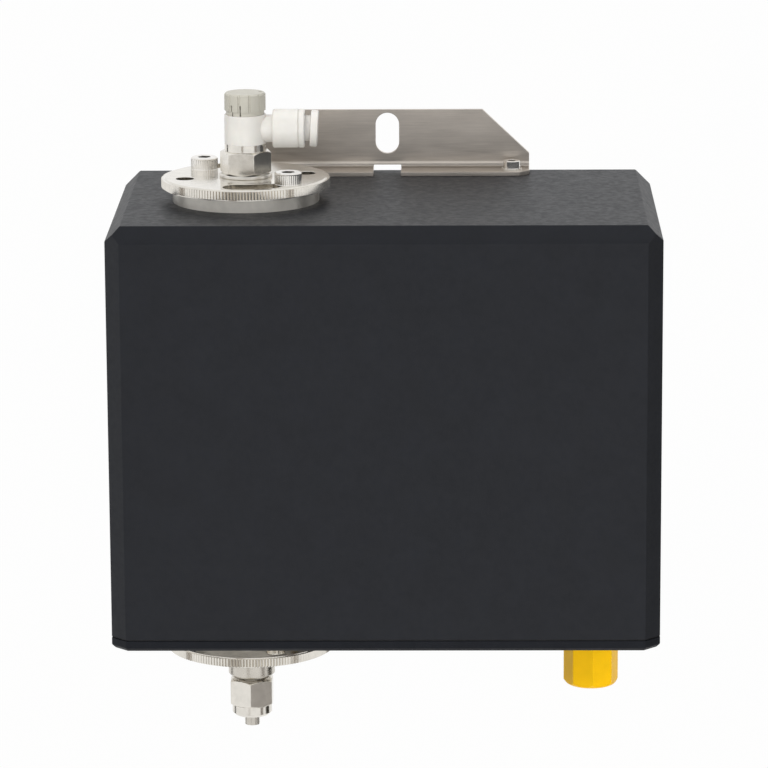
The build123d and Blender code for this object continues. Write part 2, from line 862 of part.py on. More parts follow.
# Flow regulator: a sealed hexagon base, an elbow that swivels on it, and a knob that drives a needle
with BuildPart() as regulator_washer:
    with BuildSketch(cell_plane(disc_top)):
        Circle(regulator_washer_radius)
        Circle(stem_radius + seat_play, mode=Mode.SUBTRACT)
    extrude(amount=regulator_washer_thickness)
pieces["regulator_washer"] = regulator_washer

with BuildPart() as regulator_base:
    with BuildSketch(cell_plane(hex_bottom)):
        RegularPolygon(hex_flats / 2, 6, major_radius=False, rotation=hex_turn)
    extrude(amount=hex_height)
    with BuildSketch(cell_section):
        with BuildLine():
            Polyline(*crowned_profile(hex_flats, hex_bottom, hex_top), close=True)
        make_face()
    revolve(axis=cell_axis, mode=Mode.INTERSECT)
    with BuildSketch(cell_section):
        with BuildLine():
            Polyline(
                (0, disc_top - stem_length),
                (stem_radius, disc_top - stem_length),
                (stem_radius, hex_bottom),
                (shoulder_radius, hex_bottom),
                (shoulder_radius, shoulder_top),
                (sleeve_radius, shoulder_top),
                (sleeve_radius, sleeve_top),
                (0, sleeve_top),
                close=True,
            )
        make_face()
    revolve(axis=cell_axis)
    with BuildSketch(cell_section):
        with Locations((sleeve_radius, shoulder_top + swivel_seal_rise)):
            Rectangle(groove_sides * small_seal_section, groove_opening * small_seal_section)
    revolve(axis=cell_axis, mode=Mode.SUBTRACT)
    with BuildSketch(cell_plane(sleeve_top)):
        Circle(passage_radius)
    extrude(amount=disc_top - stem_length - sleeve_top, mode=Mode.SUBTRACT)
pieces["regulator_base"] = regulator_base

with BuildPart() as swivel_seal:
    with BuildSketch(cell_section):
        with Locations((sleeve_radius - small_seal_section, shoulder_top + swivel_seal_rise)):
            Circle(small_seal_section)
    revolve(axis=cell_axis)
pieces["swivel_seal"] = swivel_seal

with BuildPart() as regulator_body:
    with BuildSketch(cell_section):
        with BuildLine():
            Polyline(
                (0, shoulder_top),
                (elbow_radius, shoulder_top),
                (elbow_radius, elbow_top),
                (bonnet_radius, elbow_top),
                (bonnet_radius, bonnet_top),
                (0, bonnet_top),
                close=True,
            )
        make_face()
    revolve(axis=cell_axis)
    with BuildSketch(port_section):
        with BuildLine():
            Polyline(
                (0, 0),
                (port_end, 0),
                (port_end, port_radius - elbow_round),
                (port_end - elbow_round, port_radius),
                (port_start + elbow_round, port_radius),
                (port_start, port_radius - elbow_round),
                (port_start, port_neck_radius),
                (0, port_neck_radius),
                close=True,
            )
        make_face()
    revolve(axis=port_axis)
    with BuildSketch(cell_section):
        with BuildLine():
            Polyline(
                (0, shoulder_top),
                (sleeve_radius + running_play, shoulder_top),
                (sleeve_radius + running_play, sleeve_top),
                (chamber_radius, sleeve_top),
                (chamber_radius, port_level + port_passage_radius),
                (needle_radius + running_play, port_level + port_passage_radius),
                (needle_radius + running_play, bonnet_top),
                (0, bonnet_top),
                close=True,
            )
        make_face()
    revolve(axis=cell_axis, mode=Mode.SUBTRACT)
    with BuildSketch(port_section):
        with BuildLine():
            Polyline(
                (0, 0),
                (port_end, 0),
                (port_end, port_socket_radius),
                (port_socket_start, port_socket_radius),
                (port_socket_start, tube_bore_radius),
                (tube_stop, tube_bore_radius),
                (tube_stop, port_passage_radius),
                (0, port_passage_radius),
                close=True,
            )
        make_face()
    revolve(axis=port_axis, mode=Mode.SUBTRACT)
pieces["regulator_body"] = regulator_body

# Inside the port: a seal, a toothed grip ring and a guide ring that holds the release collar
with BuildPart() as port_seal:
    with BuildSketch(port_section):
        with BuildLine():
            Polyline(
                (port_socket_start, tube_bore_radius),
                (grip_ring_start, tube_bore_radius),
                (grip_ring_start, port_socket_radius),
                (port_socket_start, port_socket_radius),
                close=True,
            )
        make_face()
    revolve(axis=port_axis)
pieces["port_seal"] = port_seal

with BuildPart() as port_grip_ring:
    with BuildSketch(port_section):
        with BuildLine():
            Polyline(
                (grip_ring_start, port_socket_radius),
                (grip_ring_end - grip_ring_thickness, tube_bore_radius),
                (grip_ring_end, tube_bore_radius),
                (grip_ring_start + grip_ring_thickness, port_socket_radius),
                close=True,
            )
        make_face()
    revolve(axis=port_axis)
    slot_plane = Plane(origin=(cell_x + grip_ring_end, cell_y, port_level), z_dir=(1, 0, 0))
    with BuildSketch(slot_plane):
        with PolarLocations(tube_bore_radius, grip_ring_slots):
            Rectangle(port_socket_radius - tube_bore_radius, grip_ring_slot_width)
    extrude(amount=-grip_ring_length, mode=Mode.SUBTRACT)
pieces["port_grip_ring"] = port_grip_ring

with BuildPart() as port_guide_ring:
    with BuildSketch(port_section):
        with BuildLine():
            Polyline(
                (guide_ring_start, guide_ring_radius),
                (port_end, guide_ring_radius),
                (port_end, port_socket_radius),
                (guide_ring_start, port_socket_radius),
                close=True,
            )
        make_face()
    revolve(axis=port_axis)
pieces["port_guide_ring"] = port_guide_ring

with BuildPart() as port_collar:
    with BuildSketch(port_section):
        with BuildLine():
            Polyline(
                (release_start, tube_bore_radius),
                (release_end, tube_bore_radius),
                (release_end, release_flange_radius - elbow_round),
                (release_end - elbow_round, release_flange_radius),
                (release_flange_start + elbow_round, release_flange_radius),
                (release_flange_start, release_flange_radius - elbow_round),
                (release_flange_start, release_radius),
                (release_start, release_radius),
                close=True,
            )
        make_face()
    revolve(axis=port_axis)
pieces["port_collar"] = port_collar

# Knob: turns on the bonnet; two snap tabs between slits, grip flutes and an index pit
with BuildPart() as regulator_knob:
    with BuildSketch(cell_section):
        with BuildLine():
            Polyline(
                (bonnet_radius + running_play, elbow_top),
                (knob_foot_radius, elbow_top),
                (knob_foot_radius, elbow_top + knob_foot_height),
                (knob_radius, elbow_top + knob_foot_height),
                (knob_radius, knob_top - knob_chamfer),
                (knob_radius - knob_chamfer, knob_top),
                (0, knob_top),
                (0, needle_top + needle_travel + seat_play),
                (needle_radius + running_play, needle_top + needle_travel + seat_play),
                (needle_radius + running_play, bonnet_top + running_play),
                (bonnet_radius + running_play, bonnet_top + running_play),
                close=True,
            )
        make_face()
    revolve(axis=cell_axis)
    with BuildSketch(cell_plane(elbow_top + knob_foot_height)):
        with PolarLocations(knob_radius, knob_flutes, knob_pit_angle):
            Circle(knob_flute_radius)
    extrude(amount=knob_height, mode=Mode.SUBTRACT)
    with BuildSketch(cell_plane(elbow_top)):
        for angle in (knob_slit_angle - knob_slit_half_angle, knob_slit_angle + knob_slit_half_angle):
            with PolarLocations((bonnet_radius + knob_radius) / 2, 2, angle):
                Rectangle(knob_radius - bonnet_radius, knob_slit_width)
    extrude(amount=knob_slit_height, mode=Mode.SUBTRACT)
    with BuildSketch(cell_plane(knob_top)):
        with PolarLocations(knob_pit_circle_radius, 1, knob_pit_angle):
            Circle(knob_pit_radius)
    extrude(amount=-knob_pit_depth, mode=Mode.SUBTRACT)
pieces["regulator_knob"] = regulator_knob

# Needle: its cone enters the passage of the base, its stem runs up into the knob
with BuildPart() as regulator_needle:
    with BuildSketch(cell_section):
        with BuildLine():
            Polyline(
                (0, needle_bottom),
                (needle_tip_radius, needle_bottom),
                (needle_radius, needle_bottom + needle_tip_length),
                (needle_radius, needle_top),
                (0, needle_top),
                close=True,
            )
        make_face()
        with Locations((needle_radius, elbow_top - needle_seal_drop)):
            Rectangle(
                groove_sides * needle_seal_section,
                groove_opening * needle_seal_section,
                mode=Mode.SUBTRACT,
            )
    revolve(axis=cell_axis)
pieces["regulator_needle"] = regulator_needle

with BuildPart() as needle_seal:
    with BuildSketch(cell_section):
        with Locations((needle_radius - needle_seal_section, elbow_top - needle_seal_drop)):
            Circle(needle_seal_section)
    revolve(axis=cell_axis)
pieces["needle_seal"] = needle_seal

# Lower disc: screwed to the cell from below, with two plain holes for a pin spanner
lower_screw_places = around_cell(lower_screw_circle_radius, 3, lower_screw_angle)
with BuildPart() as lower_disc:
    with BuildSketch(cell_section):
        with BuildLine():
            Polyline(*disc_profile(neck_bottom, lower_disc_bottom, 1), close=True)
        make_face()
        with Locations((spigot_radius, neck_bottom + spigot_seal_drop)):
            Rectangle(groove_sides * seal_section, groove_opening * seal_section, mode=Mode.SUBTRACT)
    revolve(axis=cell_axis)
    with BuildSketch(cell_plane(lower_disc_bottom + knurl_margin)):
        with BuildLine():
            Polyline(*knurled_outline(), close=True)
        make_face()
        Circle(spigot_radius, mode=Mode.SUBTRACT)
    extrude(amount=disc_thickness - 2 * knurl_margin)
    with BuildSketch(cell_plane(lower_disc_bottom)):
        with PolarLocations(lower_hole_circle_radius, 2, lower_hole_angle):
            Circle(lower_hole_radius)
    extrude(amount=disc_thickness, mode=Mode.SUBTRACT)
    with Locations(*facing_down(lower_screw_places, lower_disc_bottom)):
        CounterSinkHole(
            radius=lower_screw_radius + seat_play,
            counter_sink_radius=lower_screw_head_radius + seat_play,
            depth=disc_thickness,
            counter_sink_angle=90,
        )
pieces["lower_disc"] = lower_disc

with BuildPart() as lower_disc_seal:
    with BuildSketch(cell_section):
        with Locations((spigot_radius - seal_section, neck_bottom + spigot_seal_drop)):
            Circle(seal_section)
    revolve(axis=cell_axis)
pieces["lower_disc_seal"] = lower_disc_seal

with BuildPart() as lower_disc_screws:
    with BuildSketch(Plane.XY.offset(lower_disc_bottom)):
        with Locations(*lower_screw_places):
            Circle(lower_screw_radius)
    extrude(amount=lower_screw_length)
    with Locations(*[(x, y, lower_disc_bottom) for x, y in lower_screw_places]):
        Cone(
            lower_screw_head_radius,
            lower_screw_radius,
            lower_screw_head_radius - lower_screw_radius,
            align=standing,
        )
    with BuildSketch(Plane.XY.offset(lower_disc_bottom)):
        with Locations(*lower_screw_places):
            RegularPolygon(lower_screw_socket / 2, 6, major_radius=False)
    extrude(amount=lower_screw_socket_depth, mode=Mode.SUBTRACT)
pieces["lower_disc_screws"] = lower_disc_screws

# Tube fitting: a washer, a body with a coned mouth, two ferrules, the tube and the nut that clamps them.
# The free end of the tube is a little wider, sized to take a hose.
with BuildPart() as fitting_washer:
    with BuildSketch(cell_plane(fitting_top)):
        Circle(fitting_washer_radius)
        Circle(stem_radius + seat_play, mode=Mode.SUBTRACT)
    extrude(amount=fitting_washer_thickness)
pieces["fitting_washer"] = fitting_washer

with BuildPart() as fitting_body:
    with BuildSketch(cell_section):
        with BuildLine():
            Polyline(
                (outlet_bore_radius, lower_disc_bottom + stem_length),
                (stem_radius, lower_disc_bottom + stem_length),
                (stem_radius, fitting_top),
                (fitting_radius, fitting_top),
                (fitting_radius, fitting_bottom + fitting_chamfer),
                (fitting_radius - fitting_chamfer, fitting_bottom),
                (fitting_tail_radius, fitting_bottom),
                (fitting_tail_radius, tail_bottom),
                (ferrule_mouth_radius, tail_bottom),
                (outlet_seat_radius, tail_bottom + ferrule_cone),
                (outlet_seat_radius, outlet_top),
                (outlet_bore_radius, outlet_top),
                close=True,
            )
        make_face()
    revolve(axis=cell_axis)
pieces["fitting_body"] = fitting_body

cone_slope = (ferrule_mouth_radius - outlet_seat_radius) / ferrule_cone
with BuildPart() as front_ferrule:
    with BuildSketch(cell_section):
        with BuildLine():
            Polyline(
                (outlet_radius, ferrule_joint),
                (ferrule_mouth_radius, ferrule_joint),
                (ferrule_mouth_radius, tail_bottom),
                (ferrule_mouth_radius - cone_slope * front_ferrule_nose, tail_bottom + front_ferrule_nose),
                (outlet_radius, tail_bottom + front_ferrule_nose),
                close=True,
            )
        make_face()
    revolve(axis=cell_axis)
pieces["front_ferrule"] = front_ferrule

with BuildPart() as back_ferrule:
    with BuildSketch(cell_plane(ferrule_seat)):
        Circle(back_ferrule_radius)
        Circle(outlet_radius, mode=Mode.SUBTRACT)
    extrude(amount=back_ferrule_height)
pieces["back_ferrule"] = back_ferrule

with BuildPart() as fitting_tube:
    with BuildSketch(cell_plane(outlet_bottom)):
        Circle(outlet_radius)
    extrude(amount=outlet_top - outlet_bottom)
    with BuildSketch(cell_plane(outlet_bottom)):
        Circle(outlet_end_radius)
    extrude(amount=outlet_stub - outlet_end_gap)
    with BuildSketch(cell_plane(outlet_bottom)):
        Circle(outlet_bore_radius)
    extrude(amount=outlet_top - outlet_bottom, mode=Mode.SUBTRACT)
pieces["fitting_tube"] = fitting_tube

with BuildPart() as fitting_nut:
    with BuildSketch(cell_plane(nut_hex_bottom)):
        RegularPolygon(nut_flats / 2, 6, major_radius=False, rotation=nut_turn)
    extrude(amount=nut_hex_height)
    with BuildSketch(cell_section):
        with BuildLine():
            Polyline(*crowned_profile(nut_flats, nut_hex_bottom, nut_top), close=True)
        make_face()
    revolve(axis=cell_axis, mode=Mode.INTERSECT)
    with BuildSketch(cell_section):
        with BuildLine():
            Polyline(
                (0, nut_bottom),
                (nut_collar_radius - nut_collar_chamfer, nut_bottom),
                (nut_collar_radius, nut_bottom + nut_collar_chamfer),
                (nut_collar_radius, nut_hex_bottom),
                (0, nut_hex_bottom),
                close=True,
            )
        make_face()
    revolve(axis=cell_axis)
    with BuildSketch(cell_plane(nut_top)):
        Circle(fitting_tail_radius + running_play)
    extrude(amount=ferrule_seat - nut_top, mode=Mode.SUBTRACT)
    with BuildSketch(cell_plane(ferrule_seat)):
        Circle(outlet_seat_radius)
    extrude(amount=nut_bottom - ferrule_seat, mode=Mode.SUBTRACT)
pieces["fitting_nut"] = fitting_nut

# Connector: a flanged shell through the base plate, with its seal, lock nut, insert and pins
with BuildPart() as connector_seal:
    with BuildSketch(connector_plane(flange_top)):
        Circle(connector_seal_radius)
        Circle(connector_radius + seat_play, mode=Mode.SUBTRACT)
    extrude(amount=connector_seal_thickness)
pieces["connector_seal"] = connector_seal

with BuildPart() as connector_shell:
    with BuildSketch(connector_section):
        with BuildLine():
            Polyline(
                (connector_bore_radius, connector_bottom),
                (connector_radius, connector_bottom),
                (connector_radius, flange_bottom),
                (connector_flange_radius, flange_bottom),
                (connector_flange_radius, flange_top),
                (connector_radius, flange_top),
                (connector_radius, connector_top),
                (connector_bore_radius - connector_lip, connector_top),
                (connector_bore_radius - connector_lip, insert_top),
                (connector_bore_radius, insert_top),
                close=True,
            )
        make_face()
    revolve(axis=connector_axis)
pieces["connector_shell"] = connector_shell

with BuildPart() as connector_lock_nut:
    with BuildSketch(connector_plane(plate_top)):
        RegularPolygon(connector_nut_flats / 2, 6, major_radius=False)
        Circle(connector_radius + thread_play, mode=Mode.SUBTRACT)
    extrude(amount=connector_nut_height)
pieces["connector_lock_nut"] = connector_lock_nut

with BuildPart() as connector_insert:
    with BuildSketch(connector_plane(insert_bottom)):
        Circle(connector_bore_radius)
        with PolarLocations(pin_circle_radius, pin_count):
            Circle(pin_radius, mode=Mode.SUBTRACT)
    extrude(amount=insert_top - insert_bottom)
pieces["connector_insert"] = connector_insert

with BuildPart() as connector_pins:
    with BuildSketch(connector_plane(insert_bottom - pin_reach)):
        with PolarLocations(pin_circle_radius, pin_count):
            Circle(pin_radius)
    extrude(amount=pin_reach + insert_top - insert_bottom + pin_tail)
pieces["connector_pins"] = connector_pins

with BuildPart() as connector_cap:
    with BuildSketch(connector_plane(cap_bottom)):
        RegularPolygon(cap_flats / 2, cap_sides, major_radius=False, rotation=cap_turn)
    extrude(amount=cap_length)
    chamfer(connector_cap.faces().sort_by(Axis.Z)[0].edges(), length=cap_chamfer)
    with BuildSketch(connector_plane(flange_bottom)):
        Circle(connector_radius + cap_play)
    extrude(amount=cap_floor - cap_length, mode=Mode.SUBTRACT)
pieces["connector_cap"] = connector_cap

# Circuit board: four hexagonal standoffs on the back wall, the board, its components and screws
board_back = cover_wall + standoff_length
board_front = board_back + board_thickness
with BuildPart() as board_standoffs:
    with BuildSketch(Plane.XZ.offset(cover_wall)):
        with Locations(*standoff_places):
            RegularPolygon(standoff_flats / 2, 6, major_radius=False)
    extrude(amount=standoff_length)
    with BuildSketch(Plane.XZ.offset(cover_wall)):
        with Locations(*standoff_places):
            Circle(board_screw_radius)
    extrude(amount=-standoff_stud)
    with BuildSketch(Plane.XZ.offset(board_back)):
        with Locations(*standoff_places):
            Circle(board_screw_radius + thread_play)
    extrude(amount=-board_screw_depth, mode=Mode.SUBTRACT)
pieces["board_standoffs"] = board_standoffs

with BuildPart() as circuit_board:
    with BuildSketch(Plane.XZ.offset(board_back)):
        with Locations((board_x, board_level)):
            Rectangle(board_width, board_height)
        with Locations(*standoff_places):
            Circle(board_screw_radius + seat_play, mode=Mode.SUBTRACT)
    extrude(amount=board_thickness)
pieces["circuit_board"] = circuit_board

board_face = Plane(
    origin=(board_x, -board_front, board_level),
    x_dir=(1, 0, 0),
    z_dir=(0, -1, 0),
)
with BuildPart() as board_components:
    for across, up, width, height, thickness in board_parts.values():
        with BuildSketch(board_face):
            with Locations((across, up)):
                Rectangle(width, height)
        extrude(amount=thickness)
    with BuildSketch(board_face):
        with Locations(*capacitor_places):
            Circle(capacitor_radius)
    extrude(amount=capacitor_length)
pieces["board_components"] = board_components

with BuildPart() as board_screws:
    with BuildSketch(Plane.XZ.offset(board_front)):
        with Locations(*standoff_places):
            Circle(board_screw_head_radius)
    extrude(amount=board_screw_head_height)
    with BuildSketch(Plane.XZ.offset(board_front)):
        with Locations(*standoff_places):
            Circle(board_screw_radius)
    extrude(amount=-board_thickness - board_screw_depth)
pieces["board_screws"] = board_screws

os.makedirs("parts", exist_ok=True)
for name, piece in pieces.items():
    piece.part.label = name
    export_step(piece.part, f"parts/{name}.step")
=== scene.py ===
"""A wall-hung, flow-through turbidity sensor, dressed round its CAD frame. Lengths are in metres, +Z up."""

from math import cos, pi, radians, sin, sqrt

import bpy
from mathutils import Matrix, Vector


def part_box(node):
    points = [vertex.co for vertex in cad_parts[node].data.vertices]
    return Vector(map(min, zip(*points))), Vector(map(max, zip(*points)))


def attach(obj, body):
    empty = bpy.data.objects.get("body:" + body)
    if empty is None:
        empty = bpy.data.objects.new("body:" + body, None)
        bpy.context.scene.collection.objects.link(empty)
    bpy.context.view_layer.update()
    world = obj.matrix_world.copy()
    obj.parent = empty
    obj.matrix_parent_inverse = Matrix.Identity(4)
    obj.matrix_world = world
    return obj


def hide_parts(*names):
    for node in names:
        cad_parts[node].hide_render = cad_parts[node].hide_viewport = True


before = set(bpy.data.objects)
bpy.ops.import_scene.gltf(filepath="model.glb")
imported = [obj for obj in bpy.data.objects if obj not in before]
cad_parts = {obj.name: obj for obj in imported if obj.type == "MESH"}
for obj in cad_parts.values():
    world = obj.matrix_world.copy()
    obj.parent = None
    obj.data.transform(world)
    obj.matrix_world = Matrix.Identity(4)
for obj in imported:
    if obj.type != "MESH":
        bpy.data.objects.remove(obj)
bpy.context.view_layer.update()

bl_info = {
    "name": "Turbidity sensor",
    "version": (1, 0, 0),
    "blender": (4, 2, 0),
    "location": "3D View > Sidebar > Sensor",
    "description": "Builds the visible pieces, finishes and studio of a flow-through turbidity sensor",
    "category": "Object",
}

mm = 0.001

# How near a place has to be to a level, and how near two vertices are to be merged
NEAR = 0.01 * mm
MERGE = 0.002 * mm
# The range that most values of a noise lie in
NOISE_LOW, NOISE_HIGH = 0.3, 0.7
WHITE = (1, 1, 1, 1)

# Places read from the frame
HOUSING_LOW, HOUSING_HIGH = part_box("housing_cover")
CELL_LOW, CELL_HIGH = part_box("flow_cell")
CELL = (CELL_LOW + CELL_HIGH) / 2
DISC_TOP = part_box("upper_disc")[1].z
LOWER_DISC_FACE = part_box("lower_disc")[0].z
SHELL_LOW, SHELL_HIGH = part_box("connector_shell")
CONNECTOR = (SHELL_LOW + SHELL_HIGH) / 2
PORT_LOW, PORT_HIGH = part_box("port_collar")
PORT_LEVEL = (PORT_LOW.z + PORT_HIGH.z) / 2


def linear(code):
    """An sRGB hex colour as linear red, green, blue and alpha."""
    channels = [int(code[i : i + 2], 16) / 255 for i in (1, 3, 5)]
    return [c / 12.92 if c <= 0.04045 else ((c + 0.055) / 1.055) ** 2.4 for c in channels] + [1.0]


def colour_property(name, description, code):
    """A colour that the user may change, with the given sRGB hex value as its default."""
    return bpy.props.FloatVectorProperty(
        name=name, description=description, subtype="COLOR", size=4, min=0, max=1, default=linear(code)
    )


def length_property(name, description, value):
    """A length in metres that the user may change."""
    return bpy.props.FloatProperty(
        name=name, description=description, unit="LENGTH", min=0, precision=5, default=value
    )


class SensorFinish(bpy.types.PropertyGroup):
    """Colours of the finishes"""

    anodised: colour_property("Anodised aluminium", "Black anodised housing", "#101217")
    stainless: colour_property("Turned stainless steel", "Cell, discs and fittings", "#e1ddd5")
    sheet: colour_property("Brushed stainless sheet", "Hanging bracket", "#ccc4bb")
    screws: colour_property("Screw steel", "Socket screws", "#e9e6e1")
    white_plastic: colour_property("White moulded plastic", "Regulator elbow and its collar", "#d2cec8")
    knob_plastic: colour_property("Grey-beige moulded plastic", "Regulator knob", "#afaca1")
    cap_plastic: colour_property("Yellow polyethylene", "Cap of the connector", "#fdc300")
    rubber: colour_property("Nitrile rubber", "Seals and gasket", "#1a1a1b")


class SensorSizes(bpy.types.PropertyGroup):
    """Small sizes that only the visible model has"""

    housing_round: length_property("Housing edge", "Rounding of the housing's edges", 0.3 * mm)
    sheet_round: length_property("Sheet edge", "Rounding of the bracket's cut edges", 0.15 * mm)
    turned_round: length_property("Turned edge", "Rounding of turned and milled edges", 0.15 * mm)
    moulded_round: length_property("Moulded edge", "Rounding of moulded edges", 0.3 * mm)
    thread_pitch: length_property("Thread pitch", "Pitch of the connector's thread", 1.0 * mm)
    fine_thread_pitch: length_property("Fine thread pitch", "Pitch of the fitting's thread", 0.75 * mm)
    screw_knurl: length_property("Screw knurl", "Depth of the knurl on the screw heads", 0.16 * mm)


# Tools of the bench: selecting, softening, turning and fitting pieces


def clear_selection():
    """Leaves object mode and deselects everything."""
    if bpy.context.object and bpy.context.object.mode != "OBJECT":
        bpy.ops.object.mode_set(mode="OBJECT")
    bpy.ops.object.select_all(action="DESELECT")


def work_on(piece):
    """Makes one piece the only selected and active object."""
    clear_selection()
    piece.select_set(True)
    bpy.context.view_layer.objects.active = piece


def choose(piece, kind, test):
    """Opens a piece in edit mode with only the vertices, edges or faces selected that pass the test."""
    work_on(piece)
    bpy.ops.object.mode_set(mode="EDIT")
    bpy.ops.mesh.select_mode(type=kind)
    bpy.ops.mesh.select_all(action="DESELECT")
    bpy.ops.object.mode_set(mode="OBJECT")
    mesh = piece.data
    if kind == "VERT":
        for vertex in mesh.vertices:
            vertex.select = test(vertex.co)
    elif kind == "EDGE":
        for edge in mesh.edges:
            a, b = (mesh.vertices[i].co for i in edge.vertices)
            edge.select = test(a, b)
    else:
        for face in mesh.polygons:
            face.select = test(face)
    bpy.ops.object.mode_set(mode="EDIT")


def copy_of(node, name):
    """A working copy of a CAD node's mesh, merged to clean flat faces."""
    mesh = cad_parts[node].data.copy()
    mesh.materials.clear()
    piece = bpy.data.objects.new(name, mesh)
    bpy.context.scene.collection.objects.link(piece)
    work_on(piece)
    bpy.ops.mesh.customdata_custom_splitnormals_clear()
    bpy.ops.object.mode_set(mode="EDIT")
    bpy.ops.mesh.select_all(action="SELECT")
    bpy.ops.mesh.remove_doubles(threshold=MERGE)
    bpy.ops.mesh.dissolve_limited(angle_limit=radians(0.6))
    bpy.ops.object.mode_set(mode="OBJECT")
    return piece


def soften(piece, width, keep, segments=2, sharp=28, clamp=False):
    """Rounds the sharp edges whose middle passes the keep test."""
    work_on(piece)
    bpy.ops.object.mode_set(mode="EDIT")
    bpy.ops.mesh.select_mode(type="EDGE")
    bpy.ops.mesh.select_all(action="DESELECT")
    bpy.ops.mesh.edges_select_sharp(sharpness=radians(sharp))
    bpy.ops.object.mode_set(mode="OBJECT")
    chosen = set()
    for edge in piece.data.edges:
        a, b = (piece.data.vertices[i].co for i in edge.vertices)
        if edge.select and keep((a + b) / 2):
            chosen.add(frozenset(edge.vertices))
    choose(piece, "EDGE", lambda a, b: False)
    bpy.ops.object.mode_set(mode="OBJECT")
    for edge in piece.data.edges:
        edge.select = frozenset(edge.vertices) in chosen
    bpy.ops.object.mode_set(mode="EDIT")
    bpy.ops.mesh.bevel(offset=width, segments=segments, affect="EDGES", clamp_overlap=clamp)
    bpy.ops.object.mode_set(mode="OBJECT")


def smooth(piece, angle=32):
    """Shades a piece smooth, with its sharp edges kept and its large faces flat."""
    work_on(piece)
    bpy.ops.object.shade_smooth_by_angle(angle=radians(angle))
    weight = piece.modifiers.new("weighted", "WEIGHTED_NORMAL")
    weight.keep_sharp = True
    weight.weight = 100
    bpy.ops.object.modifier_apply(modifier=weight.name)


def turned(name, profile, centre, axis="Z", steps=96):
    """A piece turned from a profile of (radius, distance along the axis) points, extruded from one point."""
    clear_selection()
    bpy.ops.mesh.primitive_plane_add(size=mm, location=(0, 0, 0))
    piece = bpy.context.object
    piece.name = piece.data.name = name
    bpy.ops.object.mode_set(mode="EDIT")
    bpy.ops.mesh.select_mode(type="VERT")
    bpy.ops.mesh.select_all(action="SELECT")
    bpy.ops.mesh.merge(type="CENTER")
    upright, sideways = Vector((0, 0, 1)), Vector((1, 0, 0))
    along, across = (upright, sideways) if axis == "Z" else (sideways, upright)
    places = [centre + across * radius + along * distance for radius, distance in profile]
    bpy.ops.transform.translate(value=places[0])
    for last, place in zip(places, places[1:]):
        bpy.ops.mesh.extrude_vertices_move(TRANSFORM_OT_translate={"value": place - last})
    bpy.ops.mesh.select_all(action="SELECT")
    bpy.ops.mesh.spin(steps=steps, angle=2 * pi, center=centre, axis=along)
    bpy.ops.mesh.select_all(action="SELECT")
    bpy.ops.mesh.remove_doubles(threshold=MERGE)
    bpy.ops.mesh.normals_make_consistent(inside=False)
    bpy.ops.object.mode_set(mode="OBJECT")
    return piece


def combine(piece, tool, operation):
    """Cuts a tool out of a piece, or keeps only what the two share, and removes the tool."""
    work_on(piece)
    modifier = piece.modifiers.new(tool.name, "BOOLEAN")
    modifier.object = tool
    modifier.operation = operation
    modifier.solver = "EXACT"
    bpy.ops.object.modifier_apply(modifier=modifier.name)
    bpy.data.objects.remove(tool)


def joined(name, pieces):
    """Several pieces made one."""
    clear_selection()
    for piece in pieces:
        piece.select_set(True)
    bpy.context.view_layer.objects.active = pieces[0]
    bpy.ops.object.join()
    whole = bpy.context.object
    whole.name = whole.data.name = name
    return whole


def place_in_mesh(piece):
    """Puts a piece's place and turn into its mesh."""
    work_on(piece)
    bpy.ops.object.transform_apply(location=True, rotation=True, scale=True)


def fit(piece, material, body, slot, *replaced):
    """Gives a finished piece its material and body, and hides the CAD nodes that it stands for. The slot
    argument is not used.
    """
    piece.data.materials.clear()
    piece.data.materials.append(material)
    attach(piece, body)
    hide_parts(*replaced)


def distance_from(axis_point, place):
    """Distance of a place from an upright axis."""
    return sqrt((place.x - axis_point.x) ** 2 + (place.y - axis_point.y) ** 2)


# Finishes: procedural materials, each with its own colour, roughness and bump


def add_node(tree, kind, inputs=None, links=None, **settings):
    """Adds a shader node with its settings, input values and links."""
    node = tree.nodes.new(kind)
    for key, value in settings.items():
        setattr(node, key, value)
    for key, value in (inputs or {}).items():
        node.inputs[key].default_value = value
    for key, socket in (links or {}).items():
        tree.links.new(socket, node.inputs[key])
    return node


def new_finish(name, roughness, metallic=0.0, **sockets):
    """A material with a principled shader, its tree and the object coordinates of a piece."""
    material = bpy.data.materials.new(name)
    material.use_nodes = True
    tree = material.node_tree
    shader = tree.nodes["Principled BSDF"]
    shader.inputs["Metallic"].default_value = metallic
    shader.inputs["Roughness"].default_value = roughness
    for key, value in sockets.items():
        shader.inputs[key.replace("_", " ")].default_value = value
    place = add_node(tree, "ShaderNodeTexCoord").outputs["Object"]
    return material, tree, shader, place


def mapped(tree, place, scale=(1, 1, 1), location=(0, 0, 0), rotation=(0, 0, 0)):
    """Moved, turned and stretched object coordinates."""
    inputs = {"Scale": scale, "Location": location, "Rotation": rotation}
    return add_node(tree, "ShaderNodeMapping", inputs, {"Vector": place}).outputs["Vector"]


def noise(tree, vector, size, detail=2.0, rough=0.5):
    """Noise whose features are about the given size in metres."""
    inputs = {"Scale": 1 / size, "Detail": detail, "Roughness": rough}
    return add_node(tree, "ShaderNodeTexNoise", inputs, {"Vector": vector}).outputs["Fac"]


def spread(tree, value, low, high):
    """A noise value spread from low to high."""
    inputs = {"From Min": NOISE_LOW, "From Max": NOISE_HIGH, "To Min": low, "To Max": high}
    return add_node(tree, "ShaderNodeMapRange", inputs, {"Value": value}).outputs["Result"]


def tint(tree, shader, colour, value, low, high):
    """Colours the shader with one colour that a noise makes a little darker or lighter."""
    amount = spread(tree, value, low, high)
    inputs = {"A": colour, "Factor": 1.0}
    mix = add_node(tree, "ShaderNodeMix", inputs, {"B": amount}, data_type="RGBA", blend_type="MULTIPLY")
    tree.links.new(mix.outputs["Result"], shader.inputs["Base Color"])


def roughen(tree, shader, value, low, high):
    """Gives the shader a roughness that a noise spreads from low to high."""
    tree.links.new(spread(tree, value, low, high), shader.inputs["Roughness"])


